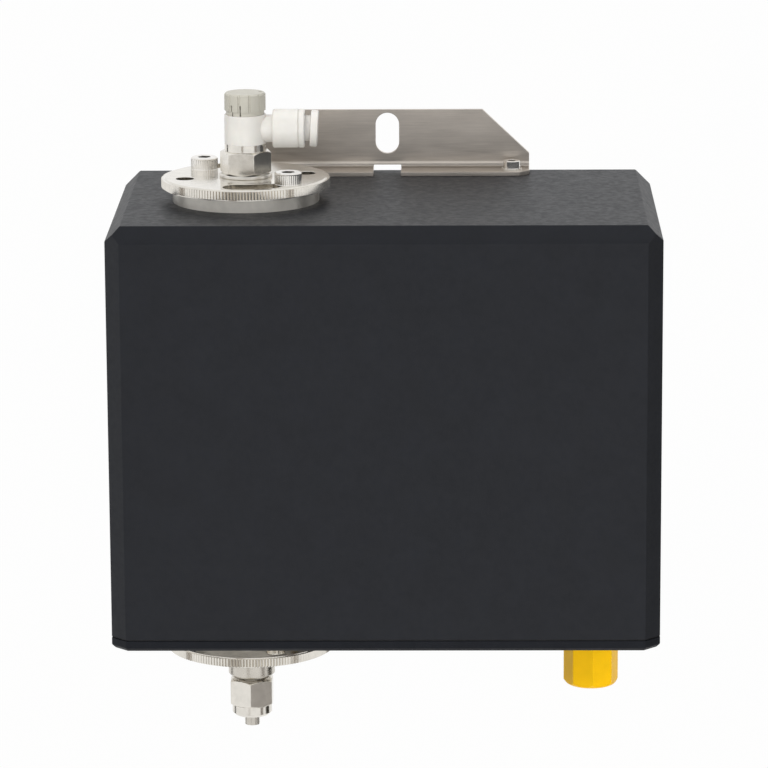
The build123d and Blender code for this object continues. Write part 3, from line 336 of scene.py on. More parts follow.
def bump(tree, shader, height, depth, strength=1.0, under=None):
    """Raises the surface by a height map, with the given depth in metres."""
    links = {"Height": height}
    if under:
        links["Normal"] = under
    node = add_node(tree, "ShaderNodeBump", {"Distance": depth, "Strength": strength}, links)
    tree.links.new(node.outputs["Normal"], shader.inputs["Normal"])
    return node.outputs["Normal"]


def anodised_aluminium(name, colour, shine=0.3):
    """Bead-blasted, black anodised aluminium: an even, sandy matt skin with a soft sheen at low angles."""
    material, tree, shader, place = new_finish(name, 0.5, Specular_IOR_Level=shine)
    tint(tree, shader, colour, noise(tree, place, 9 * mm, 3), 0.9, 1.1)
    grain = noise(tree, place, 0.4 * mm, 3, 0.6)
    roughen(tree, shader, noise(tree, place, 2 * mm), 0.44, 0.56)
    bump(tree, shader, grain, 0.05 * mm, 0.6)
    return material


def turned_stainless(name, colour, centre, roughness=0.22, axis="Z", side_depth=0.006 * mm):
    """Stainless steel straight from the lathe: bright, with fine rings round its axis."""
    material, tree, shader, place = new_finish(name, roughness, 1.0)
    local = mapped(tree, place, location=-centre)
    if axis == "X":
        local = mapped(tree, local, rotation=(0, pi / 2, 0))
    # the cutter's feed is about 0.1 mm; it is drawn as 0.2 mm so that it shows
    waves = pi / 10 / (0.2 * mm)
    rings = add_node(
        tree,
        "ShaderNodeTexWave",
        {"Scale": waves, "Distortion": 1.2, "Detail": 1.0, "Detail Scale": 2.0},
        {"Vector": local},
        wave_type="RINGS",
        rings_direction="Z",
    ).outputs["Fac"]
    # the same feed marks on faces that run along the axis, where they spread each highlight upright
    turns = add_node(
        tree,
        "ShaderNodeTexWave",
        {"Scale": waves, "Distortion": 0.8, "Detail": 1.0},
        {"Vector": local},
        bands_direction="Z",
    ).outputs["Fac"]
    tint(tree, shader, colour, noise(tree, place, 3 * mm), 0.94, 1.04)
    roughen(tree, shader, rings, roughness * 0.85, roughness * 1.2)
    under = bump(tree, shader, rings, 0.003 * mm, 0.5)
    bump(tree, shader, turns, side_depth, 0.5, under)
    return material


def brushed_sheet(name, colour):
    """Stainless sheet, belt-brushed along its length: long fine scratches and soft cloudy patches."""
    material, tree, shader, place = new_finish(name, 0.36, 1.0)
    # belt scratches are about 0.05 mm wide; they are drawn as 0.2 mm so that they show
    long_scratches = noise(tree, mapped(tree, place, scale=(0.02, 1, 1)), 0.2 * mm, 3, 0.7)
    clouds = noise(tree, mapped(tree, place, scale=(0.35, 1, 1)), 7 * mm, 3)
    both = add_node(tree, "ShaderNodeMath", {}, {0: long_scratches, 1: clouds}, operation="ADD")
    half = add_node(tree, "ShaderNodeMath", {1: 0.5}, {0: both.outputs["Value"]}, operation="MULTIPLY")
    tint(tree, shader, colour, half.outputs["Value"], 0.78, 1.16)
    roughen(tree, shader, long_scratches, 0.28, 0.44)
    bump(tree, shader, long_scratches, 0.012 * mm, 0.5)
    return material


def milled_stainless(name, colour, roughness=0.17):
    """Bright drawn bar, milled or cold-formed: nearly smooth, with faint marks."""
    material, tree, shader, place = new_finish(name, roughness, 1.0)
    marks = noise(tree, mapped(tree, place, scale=(1, 1, 0.3)), 0.4 * mm, 2)
    tint(tree, shader, colour, noise(tree, place, 2.5 * mm), 0.94, 1.05)
    roughen(tree, shader, marks, roughness * 0.9, roughness * 1.12)
    bump(tree, shader, marks, 0.001 * mm, 0.12)
    return material


def moulded_plastic(name, colour, roughness, grain=0.25 * mm, depth=0.008 * mm, subsurface=0.0, shine=0.5):
    """Injection-moulded plastic: an even colour and a satin skin."""
    material, tree, shader, place = new_finish(
        name, roughness, Subsurface_Weight=subsurface, Specular_IOR_Level=shine
    )
    tint(tree, shader, colour, noise(tree, place, 4 * mm), 0.965, 1.03)
    roughen(tree, shader, noise(tree, place, 1.2 * mm), roughness * 0.88, roughness * 1.12)
    bump(tree, shader, noise(tree, place, grain), depth, 0.5)
    return material


def nitrile_rubber(name, colour):
    """Black nitrile rubber: dull, with a faint bloom."""
    material, tree, shader, place = new_finish(name, 0.7)
    tint(tree, shader, colour, noise(tree, place, 1.5 * mm), 0.8, 1.3)
    roughen(tree, shader, noise(tree, place, 0.6 * mm), 0.62, 0.8)
    bump(tree, shader, noise(tree, place, 0.3 * mm), 0.01 * mm, 0.5)
    return material


def plated_brass(name, colour, roughness=0.28):
    """Turned brass with a thin plated coat: warm and fairly bright."""
    material, tree, shader, place = new_finish(name, roughness, 1.0)
    tint(tree, shader, colour, noise(tree, place, 1.5 * mm), 0.93, 1.05)
    roughen(tree, shader, noise(tree, place, 0.5 * mm), roughness * 0.85, roughness * 1.2)
    bump(tree, shader, noise(tree, place, 0.2 * mm), 0.003 * mm, 0.4)
    return material


def polished_glass(name):
    """Polished optical glass."""
    material, tree, shader, place = new_finish(name, 0.02, Transmission_Weight=1.0, IOR=1.5)
    tint(tree, shader, linear("#eef6f4"), noise(tree, place, 3 * mm), 0.97, 1.0)
    roughen(tree, shader, noise(tree, place, 1 * mm), 0.01, 0.04)
    bump(tree, shader, noise(tree, place, 2 * mm), 0.001 * mm, 0.1)
    return material


def circuit_laminate(name):
    """Glass-fibre laminate under green solder mask: glossy, with the weave and tracks just showing."""
    material, tree, shader, place = new_finish(name, 0.35)
    upright = mapped(tree, place, rotation=(pi / 2, 0, 0))
    inputs = {"Scale": 90.0, "Mortar Size": 0.03}
    tracks = add_node(tree, "ShaderNodeTexBrick", inputs, {"Vector": upright}).outputs["Fac"]
    tint(tree, shader, linear("#1f6a3c"), tracks, 0.75, 1.25)
    roughen(tree, shader, noise(tree, place, 1 * mm), 0.3, 0.42)
    bump(tree, shader, tracks, 0.03 * mm, 0.5)
    return material


finishes = {}


def make_finishes(colours):
    """Makes every finish of the sensor, once."""
    port_centre = Vector((PORT_LOW.x, CELL.y, PORT_LEVEL))
    finishes.update(
        anodised=anodised_aluminium("bead_blasted_black_anodised_aluminium", colours.anodised),
        plate=anodised_aluminium("deep_black_anodised_plate", colours.anodised, 0.17),
        cell=turned_stainless("turned_stainless_cell", colours.stainless, CELL, 0.25, side_depth=0.03 * mm),
        disc=turned_stainless(
            "polished_stainless_disc", colours.stainless, CELL, 0.13, side_depth=0.0005 * mm
        ),
        fitting=turned_stainless("turned_stainless_fitting", linear("#cec9c0"), CELL, 0.24),
        hexagon=milled_stainless("cold_formed_stainless_hexagon", colours.stainless),
        sheet=brushed_sheet("belt_brushed_stainless_sheet", colours.sheet),
        screw=milled_stainless("bright_screw_steel", colours.screws, 0.16),
        washer=milled_stainless("zinc_plated_washer_steel", linear("#e2dfd9"), 0.3),
        white=moulded_plastic("moulded_white_polyester", colours.white_plastic, 0.36, subsurface=0.04),
        collar=moulded_plastic("moulded_white_acetal", colours.white_plastic, 0.4, subsurface=0.04),
        knob=moulded_plastic("moulded_grey_beige_acetal", colours.knob_plastic, 0.42),
        cap=moulded_plastic(
            "moulded_yellow_polyethylene", colours.cap_plastic, 0.38, subsurface=0.05, shine=0.22
        ),
        black_plastic=moulded_plastic("glass_filled_black_nylon", linear("#1d1d1e"), 0.5),
        rubber=nitrile_rubber("black_nitrile_rubber", colours.rubber),
        nickel=plated_brass("nickel_plated_brass", linear("#c2bcae")),
        gold=plated_brass("gold_plated_brass", linear("#d9b35a"), 0.22),
        glass=polished_glass("polished_optical_glass"),
        laminate=circuit_laminate("green_circuit_laminate"),
        ring=turned_stainless("spring_steel_grip_ring", colours.stainless, port_centre, 0.25, "X"),
    )


class SENSOR_OT_finishes(bpy.types.Operator):
    """Make the finishes, and give them to the CAD pieces that are shown as they are"""

    bl_idname = "sensor.finishes"
    bl_label = "Finishes"

    def execute(self, context):
        make_finishes(context.scene.sensor_finish)
        plain = {
            "rubber": [
                "base_gasket", "cell_top_seal", "cell_bottom_seal", "window_seals", "upper_disc_seal",
                "lower_disc_seal", "swivel_seal", "needle_seal", "port_seal", "connector_seal",
            ],
            "cell": ["flow_cell"],
            "fitting": ["front_ferrule", "back_ferrule", "regulator_needle", "fitting_tube"],
            "ring": ["port_grip_ring"],
            "washer": ["bracket_washers"],
            "screw": ["base_screws", "lower_disc_screws", "holder_screws", "board_screws"],
            "black_plastic": [
                "light_source_holder", "detector_holders", "light_source", "photodiodes", "connector_insert",
                "board_components", "port_guide_ring",
            ],
            "glass": ["windows", "collimating_lens"],
            "nickel": ["connector_lock_nut", "board_standoffs"],
            "gold": ["connector_pins"],
            "laminate": ["circuit_board"],
        }
        for finish, nodes in plain.items():
            for node in nodes:
                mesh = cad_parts[node].data
                mesh.materials.clear()
                mesh.materials.append(finishes[finish])
        return {"FINISHED"}


# Pieces: one operator for each group of visible pieces


class SENSOR_OT_housing(bpy.types.Operator):
    """Make the housing cover and the base plate, with soft machined edges"""

    bl_idname = "sensor.housing"
    bl_label = "Housing"

    def execute(self, context):
        width = context.scene.sensor_sizes.housing_round
        # skin is how deep under a face an edge still counts as that face's own
        skin, wall, chamfer = 1.5 * mm, 3.9 * mm, 5 * mm
        top_half_width, front_depth, screw_height = 80 * mm, 8 * mm, 18 * mm

        def outside(place):
            return (
                min(place.x - HOUSING_LOW.x, HOUSING_HIGH.x - place.x) < skin + chamfer
                or min(place.y - HOUSING_LOW.y, HOUSING_HIGH.y - place.y) < skin
                or HOUSING_HIGH.z - place.z < skin
            )

        def on_shell(place):
            within = (
                HOUSING_LOW.x + wall < place.x < HOUSING_HIGH.x - wall
                and HOUSING_LOW.y + wall < place.y < HOUSING_HIGH.y - wall
            )
            on_top = HOUSING_HIGH.z - place.z < skin
            top_side = on_top and abs(place.x) > top_half_width
            top_front = on_top and place.y < HOUSING_LOW.y + front_depth
            screw_hole = within and place.z < HOUSING_LOW.z + screw_height
            return outside(place) and (not within or top_side or top_front) and not screw_hole

        cover = copy_of("housing_cover", "housing_shell")
        soften(cover, width, lambda place: on_shell(place) and place.z > HOUSING_LOW.z + NEAR)
        smooth(cover)
        fit(cover, finishes["anodised"], "sensor", "black_aluminium", "housing_cover")

        plate_low, plate_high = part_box("base_plate")
        rim, back_rim, corner_half_width, corner_depth = 1.3 * mm, 0.1 * mm, 84 * mm, 6.5 * mm
        plate = copy_of("base_plate", "base_cover")
        soften(
            plate,
            width * 0.8,
            lambda place: min(place.x - plate_low.x, plate_high.x - place.x, place.y - plate_low.y) < rim
            or plate_high.y - place.y < back_rim
            or (abs(place.x) > corner_half_width and place.y < plate_low.y + corner_depth),
        )
        smooth(plate)
        fit(plate, finishes["plate"], "sensor", "black_aluminium", "base_plate")
        return {"FINISHED"}


class SENSOR_OT_bracket(bpy.types.Operator):
    """Make the hanging bracket, with its cut edges broken"""

    bl_idname = "sensor.bracket"
    bl_label = "Bracket"

    def execute(self, context):
        bracket = copy_of("hanging_bracket", "hanging_sheet")
        soften(bracket, context.scene.sensor_sizes.sheet_round, lambda place: True, sharp=40)
        smooth(bracket)
        fit(bracket, finishes["sheet"], "sensor", "brushed_stainless", "hanging_bracket")
        return {"FINISHED"}


class SENSOR_OT_discs(bpy.types.Operator):
    """Make the two knurled discs, with the edges of their faces and holes broken"""

    bl_idname = "sensor.discs"
    bl_label = "Knurled discs"

    def execute(self, context):
        width = context.scene.sensor_sizes.turned_round
        # only edges between the seat in the middle and the knurl are softened
        upper_seat, lower_seat, knurl_start = 6 * mm, 18 * mm, 27.5 * mm
        upper = copy_of("upper_disc", "upper_knurled_disc")
        soften(
            upper,
            width,
            lambda place: DISC_TOP - place.z < NEAR
            and upper_seat < distance_from(CELL, place) < knurl_start,
        )
        smooth(upper)
        fit(upper, finishes["disc"], "upper_cover", "stainless_steel", "upper_disc")

        lower = copy_of("lower_disc", "lower_knurled_disc")
        soften(
            lower,
            width,
            lambda place: place.z - LOWER_DISC_FACE < NEAR
            and lower_seat < distance_from(CELL, place) < knurl_start,
        )
        smooth(lower)
        fit(lower, finishes["disc"], "sensor", "stainless_steel", "lower_disc")
        return {"FINISHED"}


def cap_screw(
    name, foot, head_radius, head_height, shank_radius, shank_end, socket, socket_depth, knurl, ribs
):
    """A socket cap screw that stands on its foot: a knurled head with a rounded top and a hexagon socket."""
    clear_selection()
    middle = foot + Vector((0, 0, head_height / 2))
    bpy.ops.mesh.primitive_cylinder_add(
        vertices=2 * ribs, radius=head_radius, depth=head_height, location=middle
    )
    screw = bpy.context.object
    screw.name = screw.data.name = name
    place_in_mesh(screw)
    crown = foot.z + head_height
    foot_share, crown_share = 0.06, 0.2
    knurled_band = (foot.z + foot_share * head_height, crown - crown_share * head_height)
    bpy.ops.object.mode_set(mode="EDIT")
    for level in knurled_band:
        bpy.ops.mesh.select_all(action="SELECT")
        bpy.ops.mesh.bisect(plane_co=(foot.x, foot.y, level), plane_no=(0, 0, 1))
    bpy.ops.object.mode_set(mode="OBJECT")

    def between_ribs(co):
        """Whether a vertex at either end of the knurled band lies between two ribs."""
        if min(abs(co.z - level) for level in knurled_band) >= NEAR:
            return False
        turn = Vector((co.x - foot.x, co.y - foot.y)).angle_signed(Vector((1, 0))) / (pi / ribs)
        return round(turn) % 2 == 1

    choose(screw, "VERT", between_ribs)
    shrink = 1 - knurl / head_radius
    bpy.ops.transform.resize(value=(shrink, shrink, 1), center_override=foot)
    choose(screw, "FACE", lambda face: face.normal.z > 0.9 and face.center.z > crown - NEAR)
    rim = 0.1 * head_radius
    crown_drop = 0.75 * rim
    bpy.ops.mesh.inset(thickness=rim)
    bpy.ops.object.mode_set(mode="OBJECT")
    rim_start = head_radius - 0.5 * rim
    choose(screw, "VERT", lambda co: co.z > crown - NEAR and distance_from(foot, co) > rim_start)
    bpy.ops.transform.translate(value=(0, 0, -crown_drop))
    choose(screw, "FACE", lambda face: face.normal.z < -0.9 and face.center.z < foot.z + NEAR)
    bpy.ops.mesh.inset(thickness=head_radius - shank_radius)
    bpy.ops.mesh.extrude_region_move(TRANSFORM_OT_translate={"value": (0, 0, shank_end - foot.z)})
    bpy.ops.object.mode_set(mode="OBJECT")
    clear_selection()
    socket_turn, socket_edge = radians(17), 0.12 * mm
    # a hexagon's corners are this far from its middle; the reach of its edges is a little more
    corner = socket / sqrt(3)
    socket_reach = 0.62 * socket
    bpy.ops.mesh.primitive_cylinder_add(
        vertices=6,
        radius=corner,
        depth=2 * socket_depth,
        location=(foot.x, foot.y, crown),
        rotation=(0, 0, socket_turn),
    )
    combine(screw, bpy.context.object, "DIFFERENCE")
    soften(
        screw,
        socket_edge,
        lambda place: abs(place.z - crown) < 2 * NEAR and distance_from(foot, place) < socket_reach,
        sharp=50,
    )
    smooth(screw, 25)
    return screw


def copied_to(piece, name, shift):
    """A copy of a piece with its own mesh, moved by a shift."""
    clear_selection()
    twin = piece.copy()
    twin.data = piece.data.copy()
    twin.name = twin.data.name = name
    bpy.context.scene.collection.objects.link(twin)
    twin.location = twin.location + shift
    place_in_mesh(twin)
    return twin


class SENSOR_OT_screws(bpy.types.Operator):
    """Make the cap screws of the upper disc and of the bracket"""

    bl_idname = "sensor.screws"
    bl_label = "Cap screws"

    def execute(self, context):
        knurl = context.scene.sensor_sizes.screw_knurl
        low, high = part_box("upper_disc_screws")
        head_radius, head_height = 4.5 * mm, 3.9 * mm
        first = Vector((low.x + head_radius, high.y - head_radius, high.z - head_height))
        second = Vector((high.x - head_radius, low.y + head_radius, high.z - head_height))
        screw = cap_screw(
            "disc_screw", first, head_radius, head_height,
            shank_radius=2.5 * mm, shank_end=low.z, socket=4 * mm, socket_depth=2.4 * mm,
            knurl=knurl, ribs=44,
        )
        twin = copied_to(screw, "disc_screw_twin", second - first)
        disc_screws = joined("disc_cap_screws", [screw, twin])
        fit(disc_screws, finishes["screw"], "sensor", "screw_steel", "upper_disc_screws")

        low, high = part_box("bracket_screws")
        head_radius, head_height = 2.9 * mm, 2.6 * mm
        first = Vector((low.x + head_radius, low.y + head_radius, high.z - head_height))
        second = Vector((high.x - head_radius, first.y, first.z))
        screw = cap_screw(
            "sheet_screw", first, head_radius, head_height,
            shank_radius=1.5 * mm, shank_end=low.z, socket=2.5 * mm, socket_depth=1.4 * mm,
            knurl=0.6 * knurl, ribs=32,
        )
        twin = copied_to(screw, "sheet_screw_twin", second - first)
        sheet_screws = joined("bracket_cap_screws", [screw, twin])
        fit(sheet_screws, finishes["screw"], "sensor", "screw_steel", "bracket_screws")
        return {"FINISHED"}


def flat_washer(name, node, dent=()):
    """A washer with broken edges in place of a CAD node; a dent is (radius, share of height) points."""
    low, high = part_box(node)
    radius = (high.x - low.x) / 2
    thickness = high.z - low.z
    bore, edge = 5.2 * mm, 0.2 * mm
    profile = [(bore, 0), (bore, thickness)]
    profile += [(place, share * thickness) for place, share in dent]
    profile += [(radius - edge, thickness), (radius, thickness - edge), (radius, edge), (radius - edge, 0)]
    washer = turned(name, profile + [(bore, 0)], Vector((CELL.x, CELL.y, low.z)))
    smooth(washer)
    return washer


class SENSOR_OT_regulator(bpy.types.Operator):
    """Make the flow regulator: washer, hexagon, elbow, port collar, knob"""

    bl_idname = "sensor.regulator"
    bl_label = "Flow regulator"

    def execute(self, context):
        sizes = context.scene.sensor_sizes
        dent = [(6.4 * mm, 1), (6.5 * mm, 0.8), (7.0 * mm, 0.8), (7.1 * mm, 1)]
        washer = flat_washer("bonded_washer", "regulator_washer", dent)
        fit(washer, finishes["washer"], "upper_cover", "grey_washer", "regulator_washer")

        hexagon = copy_of("regulator_base", "regulator_hexagon")
        hexagon_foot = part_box("regulator_washer")[1].z
        body_low, body_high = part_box("regulator_body")
        spindle = 6.5 * mm
        soften(
            hexagon,
            sizes.turned_round,
            lambda place: hexagon_foot + 5 * NEAR < place.z < body_low.z + NEAR
            and distance_from(CELL, place) > spindle,
            sharp=22,
        )
        smooth(hexagon)
        fit(hexagon, finishes["hexagon"], "upper_cover", "stainless_steel", "regulator_base")

        elbow = copy_of("regulator_body", "regulator_elbow")
        elbow_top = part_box("regulator_knob")[0].z

        # the rims of the upright column are softened here, and those of the port below
        column, port_side, neck = 6.6 * mm, 7.5 * mm, 7.1 * mm

        def moulded_rim(place):
            radius = distance_from(CELL, place)
            upright = radius > column and place.x < CELL.x + port_side
            at_foot = abs(place.z - body_low.z) < 5 * NEAR
            at_top = abs(place.z - elbow_top) < 5 * NEAR and radius < neck
            return upright and (at_foot or at_top)

        soften(elbow, sizes.moulded_round, moulded_rim, segments=3)
        port_end, port_socket, port_edge = body_high.x, 6.2 * mm, 0.35 * mm
        choose(
            elbow,
            "EDGE",
            lambda a, b: min(a.x, b.x) > port_end - NEAR
            and min((p - Vector((p.x, CELL.y, PORT_LEVEL))).length for p in (a, b)) > port_socket,
        )
        bpy.ops.mesh.bevel(offset=port_edge, segments=2, affect="EDGES", clamp_overlap=False)
        bpy.ops.object.mode_set(mode="OBJECT")
        seam_floor, seam_rim, seam_width, seam_depth = 6.05 * mm, 7.2 * mm, 0.5 * mm, 2.3 * mm
        seam = turned(
            "port_seam",
            [
                (seam_floor, 0), (seam_rim, 0), (seam_rim, seam_width), (seam_floor, seam_width),
                (seam_floor, 0),
            ],
            Vector((port_end - seam_depth, CELL.y, PORT_LEVEL)),
            "X",
        )
        combine(elbow, seam, "DIFFERENCE")
        smooth(elbow)
        fit(elbow, finishes["white"], "elbow", "white_plastic", "regulator_body")

        length = PORT_HIGH.x - PORT_LOW.x
        flange_start = length - 2.5 * mm
        bore, sleeve, flange, edge, lead_in = 3.1 * mm, 4.2 * mm, 6.0 * mm, 0.45 * mm, 0.5 * mm
        collar = turned(
            "release_ring",
            [
                (bore, 0), (bore, length - lead_in), (bore + lead_in, length), (flange - edge, length),
                (flange - 0.3 * edge, length - 0.3 * edge), (flange, length - edge),
                (flange, flange_start + edge), (flange - 0.3 * edge, flange_start + 0.3 * edge),
                (flange - edge, flange_start), (sleeve, flange_start), (sleeve, 0), (bore, 0),
            ],
            Vector((PORT_LOW.x, CELL.y, PORT_LEVEL)),
            "X",
            steps=72,
        )
        # the flange leans a little in its play, as in the photograph
        flange_tilt = radians(-3.2)
        flange_root = Vector((PORT_LOW.x + flange_start, CELL.y, PORT_LEVEL))
        choose(collar, "VERT", lambda co: co.x > flange_root.x - NEAR)
        bpy.ops.transform.rotate(value=flange_tilt, orient_axis="Y", center_override=flange_root)
        bpy.ops.object.mode_set(mode="OBJECT")
        smooth(collar, 40)
        fit(collar, finishes["collar"], "release_collar", "white_plastic", "port_collar")

        knob_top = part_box("regulator_knob")[1].z
        crown_depth, inside_ribs, crown_edge = 0.6 * mm, 6.1 * mm, 0.12 * mm
        knob = copy_of("regulator_knob", "regulator_hand_knob")
        soften(
            knob,
            crown_edge,
            lambda place: knob_top - place.z < crown_depth and distance_from(CELL, place) > inside_ribs,
            sharp=30,
            clamp=True,
        )
        smooth(knob)
        fit(knob, finishes["knob"], "knob", "grey_beige_plastic", "regulator_knob")
        return {"FINISHED"}


def thread_points(start, end, outer, pitch, depth):
    """Profile points of a thread from one level to another, as V grooves with flat crests."""
    # shares of a turn at which the flank starts, reaches the groove's bottom and ends
    crest_end, bottom, crest_start = 0.15, 0.5, 0.85
    points = []
    count = int(abs(end - start) / pitch)
    step = (end - start) / count
    for turn in range(count):
        level = start + turn * step
        points += [(outer, level), (outer, level + crest_end * step)]
        points += [(outer - depth, level + bottom * step), (outer, level + crest_start * step)]
    return points + [(outer, end)]


class SENSOR_OT_fitting(bpy.types.Operator):
    """Make the tube fitting below: washer, threaded body and nut"""

    bl_idname = "sensor.fitting"
    bl_label = "Tube fitting"

    def execute(self, context):
        sizes = context.scene.sensor_sizes
        washer = flat_washer("fitting_flat_washer", "fitting_washer")
        fit(washer, finishes["washer"], "sensor", "grey_washer", "fitting_washer")

        body_low, body_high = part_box("fitting_body")
        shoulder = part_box("fitting_washer")[0].z - body_low.z
        top = body_high.z - body_low.z
        radius = (body_high.x - body_low.x) / 2
        foot, chamfer, bevel, edge = 6.7 * mm, 0.93 * mm, 0.1 * mm, 0.2 * mm
        tail, neck, neck_height, stem = 5.8 * mm, 4.9 * mm, 1.3 * mm, 4.85 * mm
        thread_depth, thread_end = 0.4 * mm, 0.6 * mm
        passage, tube_seat, tube_depth, cone, cone_depth = 1.4 * mm, 2.3 * mm, 5.5 * mm, 3.8 * mm, 1.3 * mm
        profile = [(passage, tube_depth), (passage, top), (stem, top), (stem, shoulder)]
        profile += [(radius - edge, shoulder), (radius, shoulder - edge), (radius, foot + chamfer + bevel)]
        profile += [(radius - bevel, foot + chamfer - 0.5 * bevel), (radius - chamfer, foot)]
        profile += [(neck, foot), (neck, foot - neck_height)]
        profile += thread_points(foot - neck_height, thread_end, tail, sizes.fine_thread_pitch, thread_depth)
        profile += [(tail - thread_depth, 0), (cone, 0), (tube_seat, cone_depth), (tube_seat, tube_depth)]
        profile += [(passage, tube_depth)]
        body = turned("fitting_threaded_body", profile, Vector((CELL.x, CELL.y, body_low.z)))
        smooth(body)
        fit(body, finishes["fitting"], "sensor", "stainless_steel", "fitting_body")

        bore = 5.95 * mm
        nut = copy_of("fitting_nut", "fitting_hexagon_nut")
        soften(nut, sizes.turned_round, lambda place: distance_from(CELL, place) > bore, sharp=22)
        smooth(nut)
        fit(nut, finishes["hexagon"], "nut", "stainless_steel", "fitting_nut")
        return {"FINISHED"}


class SENSOR_OT_connector(bpy.types.Operator):
    """Make the connector's threaded shell and its yellow cap"""

    bl_idname = "sensor.connector"
    bl_label = "Connector"

    def execute(self, context):
        sizes = context.scene.sensor_sizes
        low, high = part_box("connector_shell")
        flange_radius = (high.x - low.x) / 2
        top = high.z - low.z
        flange_low, flange_high = 15 * mm, 17 * mm
        outer, bore, lip, edge = 6 * mm, 4.6 * mm, 4.1 * mm, 0.25 * mm
        lip_height, bore_lead, lead_in = 2 * mm, 0.3 * mm, 0.6 * mm
        thread_depth, thread_end, runout = 0.5 * mm, flange_low - 1.2 * mm, flange_low - 0.9 * mm
        profile = [(bore, top - lip_height), (bore, bore_lead), (bore + bore_lead, 0)]
        profile += [(outer - lead_in, 0), (outer, lead_in)]
        profile += thread_points(lead_in, thread_end, outer, sizes.thread_pitch, thread_depth)
        profile += [(outer - thread_depth, runout), (outer - thread_depth, flange_low)]
        profile += [(flange_radius - edge, flange_low), (flange_radius, flange_low + edge)]
        profile += [(flange_radius, flange_high - edge), (flange_radius - edge, flange_high)]
        profile += [(outer, flange_high), (outer, top), (lip, top), (lip, top - lip_height)]
        profile += [(bore, top - lip_height)]
        shell = turned("connector_threaded_shell", profile, Vector((CONNECTOR.x, CONNECTOR.y, low.z)))
        smooth(shell)
        fit(shell, finishes["nickel"], "sensor", "nickel_plated_brass", "connector_shell")

        cap = copy_of("connector_cap", "connector_dust_cap")
        cap_low, cap_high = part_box("connector_cap")
        outside, shoulder, shoulder_reach, shoulder_round = 8.8 * mm, cap_low.z + 4 * mm, 3 * mm, 1.1 * mm
        soften(
            cap,
            shoulder_round,
            lambda place: distance_from(CONNECTOR, place) > outside
            and abs(place.z - shoulder) < shoulder_reach,
            segments=4,
            sharp=20,
        )
        # a round bar with a conical foot takes the corners off the cap's lower end
        length = cap_high.z - cap_low.z
        profile = [(0, 0), (7.9 * mm, 0), (8.3 * mm, 0.2 * mm), (9.4 * mm, 1.5 * mm), (9.4 * mm, length)]
        profile += [(0, length)]
        round_bar = turned("round_bar", profile, Vector((CONNECTOR.x, CONNECTOR.y, cap_low.z)))
        combine(cap, round_bar, "INTERSECT")
        smooth(cap)
        fit(cap, finishes["cap"], "cap", "yellow_plastic", "connector_cap")
        return {"FINISHED"}


# Stage: room, floor, lamps, cards and camera


def soft_lamp(name, place, target, size, power):
    """A large soft lamp that looks at a target."""
    light = bpy.data.lights.new(name, "AREA")
    light.shape = "RECTANGLE"
    light.size, light.size_y = size
    light.energy = power
    lamp = bpy.data.objects.new(name, light)
    bpy.context.scene.collection.objects.link(lamp)
    lamp.location = place
    lamp.rotation_euler = (Vector(target) - Vector(place)).to_track_quat("-Z", "Y").to_euler()
    lamp.visible_glossy = False


def reflector(name, place, target, size, tone):
    """A card that only metal and gloss see: it gives them something darker than the white room to reflect."""
    clear_selection()
    bpy.ops.mesh.primitive_plane_add(size=1, location=place)
    card = bpy.context.object
    card.name = card.data.name = name
    card.rotation_euler = (Vector(target) - Vector(place)).to_track_quat("Z", "Y").to_euler()
    card.scale = (size[0], size[1], 1)
    place_in_mesh(card)
    material = bpy.data.materials.new(name)
    material.use_nodes = True
    tree = material.node_tree
    tree.nodes.remove(tree.nodes["Principled BSDF"])
    glow = add_node(tree, "ShaderNodeEmission", {"Color": linear(tone), "Strength": 1.0})
    tree.links.new(glow.outputs["Emission"], tree.nodes["Material Output"].inputs["Surface"])
    card.data.materials.append(material)
    for kind in ("camera", "diffuse", "transmission", "volume_scatter", "shadow"):
        setattr(card, "visible_" + kind, False)


def ray_is(tree, *kinds):
    """One where a ray is of one of the kinds, such as Camera or Glossy, and nought elsewhere."""
    path = add_node(tree, "ShaderNodeLightPath")
    seen = path.outputs["Is %s Ray" % kinds[0]]
    for kind in kinds[1:]:
        links = {0: seen, 1: path.outputs["Is %s Ray" % kind]}
        seen = add_node(tree, "ShaderNodeMath", {}, links, operation="MAXIMUM").outputs["Value"]
    return seen


def white_room():
    """A world that is white where it is seen, and a plain soft grey where it lights the object."""
    world = bpy.data.worlds.new("white_room")
    bpy.context.scene.world = world
    world.use_nodes = True
    tree = world.node_tree
    tree.nodes.clear()
    seen = ray_is(tree, "Camera", "Glossy", "Transmission")
    inputs = {"To Min": 0.5, "To Max": 1.0}
    strength = add_node(tree, "ShaderNodeMapRange", inputs, {"Value": seen}).outputs["Result"]
    back = add_node(tree, "ShaderNodeBackground", {"Color": WHITE}, {"Strength": strength})
    out = add_node(tree, "ShaderNodeOutputWorld")
    tree.links.new(back.outputs["Background"], out.inputs["Surface"])


def pale_floor(level):
    """A wide pale floor well below the hanging sensor."""
    clear_selection()
    bpy.ops.mesh.primitive_plane_add(size=60, location=(0, 0, level))
    floor = bpy.context.object
    floor.name = floor.data.name = "pale_floor"
    place_in_mesh(floor)
    material, tree, shader, place = new_finish("pale_studio_floor", 0.9)
    tint(tree, shader, linear("#f4f3f1"), noise(tree, place, 0.4), 0.99, 1.01)
    links = {0: ray_is(tree, "Camera", "Glossy")}
    share = add_node(tree, "ShaderNodeMath", {1: 0.94}, links, operation="MULTIPLY")
    white = add_node(tree, "ShaderNodeEmission", {"Color": WHITE, "Strength": 1.02})
    mix = add_node(
        tree,
        "ShaderNodeMixShader",
        {},
        {0: share.outputs["Value"], 1: shader.outputs["BSDF"], 2: white.outputs["Emission"]},
    )
    tree.links.new(mix.outputs["Shader"], tree.nodes["Material Output"].inputs["Surface"])
    floor.data.materials.append(material)


